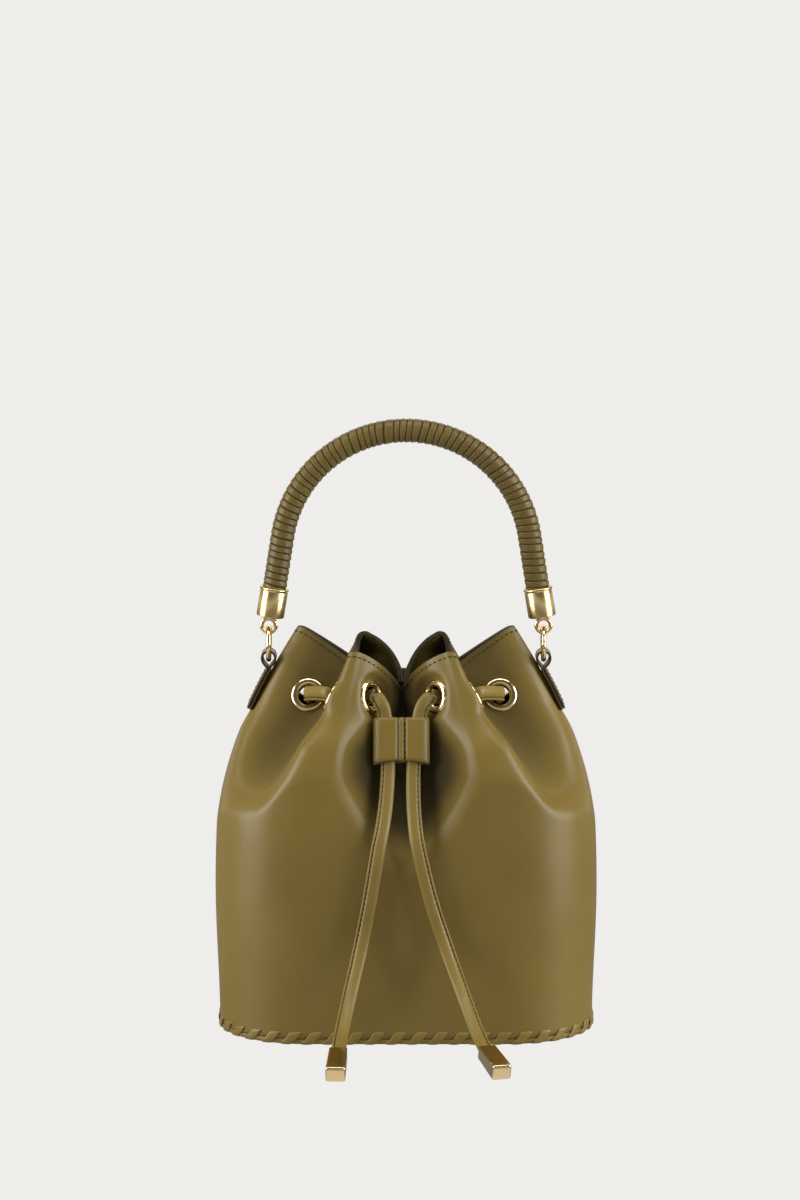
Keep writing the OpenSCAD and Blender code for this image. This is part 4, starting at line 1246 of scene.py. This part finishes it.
def tab(side):
    """Up the wall, round the ring and down again over itself."""
    bottom = NECK_Z - TAB_REACH
    r = LOOP_R + TAB_T / 2
    inner = [(corner_x(z) + SOFT_GAP + TAB_T / 2, z) for z in np.linspace(bottom, NECK_Z, 8)]
    loop = [(RING_X - 0.9, NECK_Z + 1.6), (RING_X - r * 0.80, LOOP_Z - r * 0.72)]
    loop += [(RING_X + r * math.cos(a), LOOP_Z + r * math.sin(a))
             for a in np.radians([185, 150, 120, 90, 60, 30, -5])]
    loop += [(RING_X + r * 0.80, LOOP_Z - r * 0.72), (RING_X + 0.9, NECK_Z + 1.6)]
    outer = [(corner_x(z) + SOFT_GAP + TAB_T * 1.5 + 0.02, z + 0.8) for z in np.linspace(NECK_Z, bottom, 8)]
    path = smooth_path([(x * side, 0, z) for x, z in inner + loop + outer], 4)
    across_dir = np.tile([0, 1.0, 0], (len(path), 1))
    n = np.cross(headings(path), across_dir) * side
    body = swept("tab", path, across_dir, n, rounded_box(TAB_W, TAB_T, 0.45, 4))
    two_materials(body, body_leather, edge_paint,
                  lambda poly: abs(poly.normal.y) > 0.35 or len(poly.vertices) > 4)
    face = [(corner_x(z) + SOFT_GAP + TAB_T * 2 + 0.02, z + 0.8)
            for z in np.linspace(NECK_Z - 1, bottom + 2, 12)]
    slope = unit(np.array([face[0][0] - face[-1][0], 0, face[0][1] - face[-1][1]]))
    out = np.cross(slope, [0, 1.0, 0])
    out = out * (1 if out[0] > 0 else -1) * [side, 1, 1]
    rows = [stitch_row("tab_row", [(x * side, y, z) for x, z in face], [out] * 12, 2.8, 2.1, 0.3)
            for y in (-TAB_ROW_Y, TAB_ROW_Y)]
    return join("ring_tab_" + ("right" if side > 0 else "left"), [body] + rows)


for side, name in ((-1, "left"), (1, "right")):
    finish_piece(tab(side), "bag", ["side_tab_" + name])

# %% [markdown]
# ## Rings, eyes and ferrules
# Rings and eyes are bright bent wire, and the ferrules are turned and more satin. The CAD solids are
# already true, but a finer mesh catches the light without facets, so each is turned again from the
# same sizes.

# %% Wire and ferrules
EYE_R, EYE_WIRE, LEG_LEAN = 3.9, 1.2, math.radians(9)
EYE_Z = RING_Z + RING_R + EYE_R - EYE_WIRE - RING_WIRE - 0.3
leg_up = np.array([-math.sin(LEG_LEAN), 0, math.cos(LEG_LEAN)])
leg_foot = np.array([RING_X, 0, EYE_Z]) + leg_up * (EYE_R + EYE_WIRE + LAYER_GAP / 2)


def moved(obj, place, out, along=(0, 1, 0)):
    """Turns a piece's Z to a direction and sets it at a place, in its mesh."""
    co = np.array([v.co for v in obj.data.vertices]) @ basis(out, along).T + np.asarray(place) * MM
    obj.data.vertices.foreach_set("co", co.ravel())
    obj.data.update()
    return outward(obj)


def wire_ring(name, radius, wire, place, axis):
    profile = arc_points(radius, 0, wire, 0, 360, 25)[:-1]
    return moved(turned(name, profile, 72), place, axis, (0, 0, 1))


FERRULE_L, FERRULE_R, FERRULE_END, SHANK_R, HANDLE_R = 16.5, 7.7, 2.0, 1.5, 6.6


def ferrule(name, foot, up):
    """A deep cup with a softened foot and a small bead round its mouth."""
    inner = HANDLE_R + LAYER_GAP
    profile = [(SHANK_R + 0.15, 0.1), (FERRULE_R - 0.8, 0)] + arc_points(FERRULE_R - 0.6, 0.6, 0.6, -80, 0, 6)
    profile += [(FERRULE_R, FERRULE_L - 2.3), (FERRULE_R - 0.1, FERRULE_L - 2.1),
                (FERRULE_R - 0.1, FERRULE_L - 1.85)]
    profile += arc_points(FERRULE_R - 0.45, FERRULE_L - 0.85, 0.85, -50, 90, 8)
    profile += [(inner + 0.1, FERRULE_L - 0.1), (inner, FERRULE_L - 0.5), (inner, FERRULE_END),
                (SHANK_R + 0.15, FERRULE_END)]
    obj = moved(turned(name, profile, 72), foot, up)
    obj.data.materials.append(satin_gold)
    return obj


def shank(foot, up):
    """The eye's stem and its riveted head inside the ferrule."""
    low, high = -EYE_WIRE - LAYER_GAP, FERRULE_END + 1.4
    profile = [(0.02, low), (SHANK_R * 0.9, low), (SHANK_R, low + 0.4), (SHANK_R, FERRULE_END + 0.1),
               (SHANK_R + 1.2, FERRULE_END + 0.15), (SHANK_R + 1.2, high - 0.3), (SHANK_R + 0.8, high),
               (0.02, high)]
    return moved(turned("shank", profile, 32), foot, up)


for side, name in ((-1, "left"), (1, "right")):
    flip = np.array([side, 1, 1])
    foot, up = leg_foot * flip, leg_up * flip
    ring = wire_ring("o_ring_" + name, RING_R, RING_WIRE, (side * RING_X, 0, RING_Z), (1, 0, 0))
    ring.data.materials.append(gold)
    finish_piece(ring, name + "_ring", ["ring_" + name])
    eye = wire_ring("eye", EYE_R, EYE_WIRE, (side * RING_X, 0, EYE_Z), (0, 1, 0))
    eye = join("eye_" + name, [eye, shank(foot, up)])
    eye.data.materials.clear()
    eye.data.materials.append(gold)
    finish_piece(eye, "handle", ["ferrule_eye_" + name])
    finish_piece(ferrule("cup_" + name, foot, up), "handle", ["ferrule_" + name])

# %% [markdown]
# ## The wound handle
# A long leather strip is wound round a rope, each turn lapping the last. Seen close, every turn is a
# soft pad that rises to its free edge and drops sharply on to the next. Geometry Nodes sweep a
# circle along the arch and push each point out by how far it is through its own turn, so turns,
# height and pitch stay open to change.

# %% Handle path
LEG_L, TURNS = 46.0, 71
WRAP_R, WRAP_LAP, WRAP_WANDER, WRAP_RINGS, WRAP_SIDES = 5.95, 0.85, 0.85, 1500, 56
RISE_RATE, FALL_RATE, GROOVE_RATE, END_RATE, DRIFT_SCALE = 5.0, 6.5, 7.5, 60.0, 26.0
leg_top = leg_foot + leg_up * LEG_L
ARCH_R = leg_top[0] / math.cos(LEG_LEAN)
ARCH_Z = leg_top[2] - ARCH_R * math.sin(LEG_LEAN)
WRAP_START = FERRULE_END + 1.3 + 2 * LAYER_GAP


def handle_line():
    leg = [leg_foot + leg_up * a for a in np.linspace(WRAP_START, LEG_L, 12)[:-1]]
    angles = np.linspace(LEG_LEAN, math.pi - LEG_LEAN, 90)
    arch = [np.array([ARCH_R * math.cos(a), 0, ARCH_Z + ARCH_R * math.sin(a)]) for a in angles]
    other = [p * [-1, 1, 1] for p in leg[::-1]]
    return np.array(leg + arch + other)


print("handle line:", round(length_of(handle_line())), "mm")


# %% Tree of the wound strip
def wrap_tree():
    """Sweeps a circle along the line and pushes each point out by how far it is through its turn."""
    tree, given = start_tree("wound_strip", {
        "Geometry": ("Geometry", None), "Radius": ("Float", 0.006), "Turns": ("Float", 46.0),
        "Lap": ("Float", 0.0006), "Wander": ("Float", 0.25), "Rings": ("Int", 700),
        "Material": ("Material", None)})
    add, link = tree.nodes.new, tree.links.new

    def math_node(operation, *values):
        node = add_node(tree, "ShaderNodeMath", operation=operation)
        for socket, value in zip(node.inputs, values):
            if isinstance(value, (int, float)):
                socket.default_value = value
            else:
                link(value, socket)
        return node.outputs[0]

    def stored(geometry, name, value):
        node = add_node(tree, "GeometryNodeStoreNamedAttribute", data_type="FLOAT", domain="POINT", Name=name)
        link(geometry, node.inputs["Geometry"])
        link(value, node.inputs["Value"])
        return node.outputs["Geometry"]

    def named(name):
        node = add_node(tree, "GeometryNodeInputNamedAttribute", data_type="FLOAT", Name=name)
        return node.outputs["Attribute"]

    curve = add("GeometryNodeMeshToCurve")
    link(given.outputs["Geometry"], curve.inputs["Mesh"])
    fine = add("GeometryNodeResampleCurve")
    link(curve.outputs["Curve"], fine.inputs["Curve"])
    link(given.outputs["Rings"], fine.inputs["Count"])
    line = stored(fine.outputs["Curve"], "share", add("GeometryNodeSplineParameter").outputs["Factor"])
    circle = add_node(tree, "GeometryNodeCurvePrimitiveCircle", Resolution=WRAP_SIDES)
    link(given.outputs["Radius"], circle.inputs["Radius"])
    index = add("GeometryNodeInputIndex").outputs[0]
    section = stored(circle.outputs["Curve"], "around", math_node("DIVIDE", index, float(WRAP_SIDES)))
    tube = add("GeometryNodeCurveToMesh")
    tube.inputs["Fill Caps"].default_value = True
    link(line, tube.inputs["Curve"])
    link(section, tube.inputs["Profile Curve"])
    share, around = named("share"), named("around")
    wobble = add_node(tree, "ShaderNodeTexNoise", noise_dimensions="1D", Scale=DRIFT_SCALE, Detail=1.0)
    link(share, wobble.inputs["W"])
    drift = math_node("MULTIPLY", math_node("SUBTRACT", wobble.outputs["Fac"], 0.5), given.outputs["Wander"])
    phase = math_node("ADD", math_node("MULTIPLY_ADD", share, given.outputs["Turns"], around), drift)
    through = math_node("FRACT", phase)
    left_over = math_node("SUBTRACT", 1.0, through)
    rise = math_node("POWER", math_node("MINIMUM", math_node("MULTIPLY", through, RISE_RATE), 1.0), 0.5)
    fall = math_node("MINIMUM", math_node("MULTIPLY", left_over, FALL_RATE), 1.0)
    slope = math_node("MULTIPLY_ADD", through, 0.5, 0.5)
    lean = math_node("MULTIPLY", math_node("MULTIPLY", rise, fall), slope)
    # painted shade: groove is 0 at each lap line, where the wrap material darkens the leather
    from_edge = math_node("MINIMUM", through, left_over)
    painted_lap_shade = math_node("MINIMUM", math_node("MULTIPLY", from_edge, GROOVE_RATE), 1.0)
    from_end = math_node("MINIMUM", share, math_node("SUBTRACT", 1.0, share))
    ends = math_node("MINIMUM", math_node("MULTIPLY", from_end, END_RATE), 1.0)
    height = math_node("MULTIPLY", math_node("MULTIPLY", lean, given.outputs["Lap"]), ends)
    push = add_node(tree, "ShaderNodeVectorMath", operation="SCALE")
    link(add("GeometryNodeInputNormal").outputs[0], push.inputs[0])
    link(height, push.inputs["Scale"])
    move = add("GeometryNodeSetPosition")
    link(tube.outputs["Mesh"], move.inputs["Geometry"])
    link(push.outputs[0], move.inputs["Offset"])
    return finish_tree(tree, given, stored(move.outputs["Geometry"], "groove", painted_lap_shade))


# %% Wind the handle
def wound_handle():
    line = handle_line()
    mesh = bpy.data.meshes.new("wound_handle")
    mesh.from_pydata([tuple(p * MM) for p in line], [(i, i + 1) for i in range(len(line) - 1)], [])
    obj = bpy.data.objects.new("wound_handle", mesh)
    scene.collection.objects.link(obj)
    run_tree(obj, wrap_tree(), Radius=WRAP_R * MM, Turns=float(TURNS), Lap=WRAP_LAP * MM, Wander=WRAP_WANDER,
             Rings=WRAP_RINGS, Material=wrap_leather)
    obj.data.polygons.foreach_set("use_smooth", [True] * len(obj.data.polygons))
    return outward(obj)


finish_piece(wound_handle(), "handle", ["handle_wrap"])

# %% [markdown]
# ## Hidden pieces
# The board, washers and rope are true in the CAD, so they only get their materials.

# %% Materials on CAD nodes
for node, material in (("base_board", board), ("handle_core", rope), ("front_washers", gold),
                       ("back_washers", gold)):
    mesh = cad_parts[node].data
    mesh.materials.clear()
    mesh.materials.append(material)
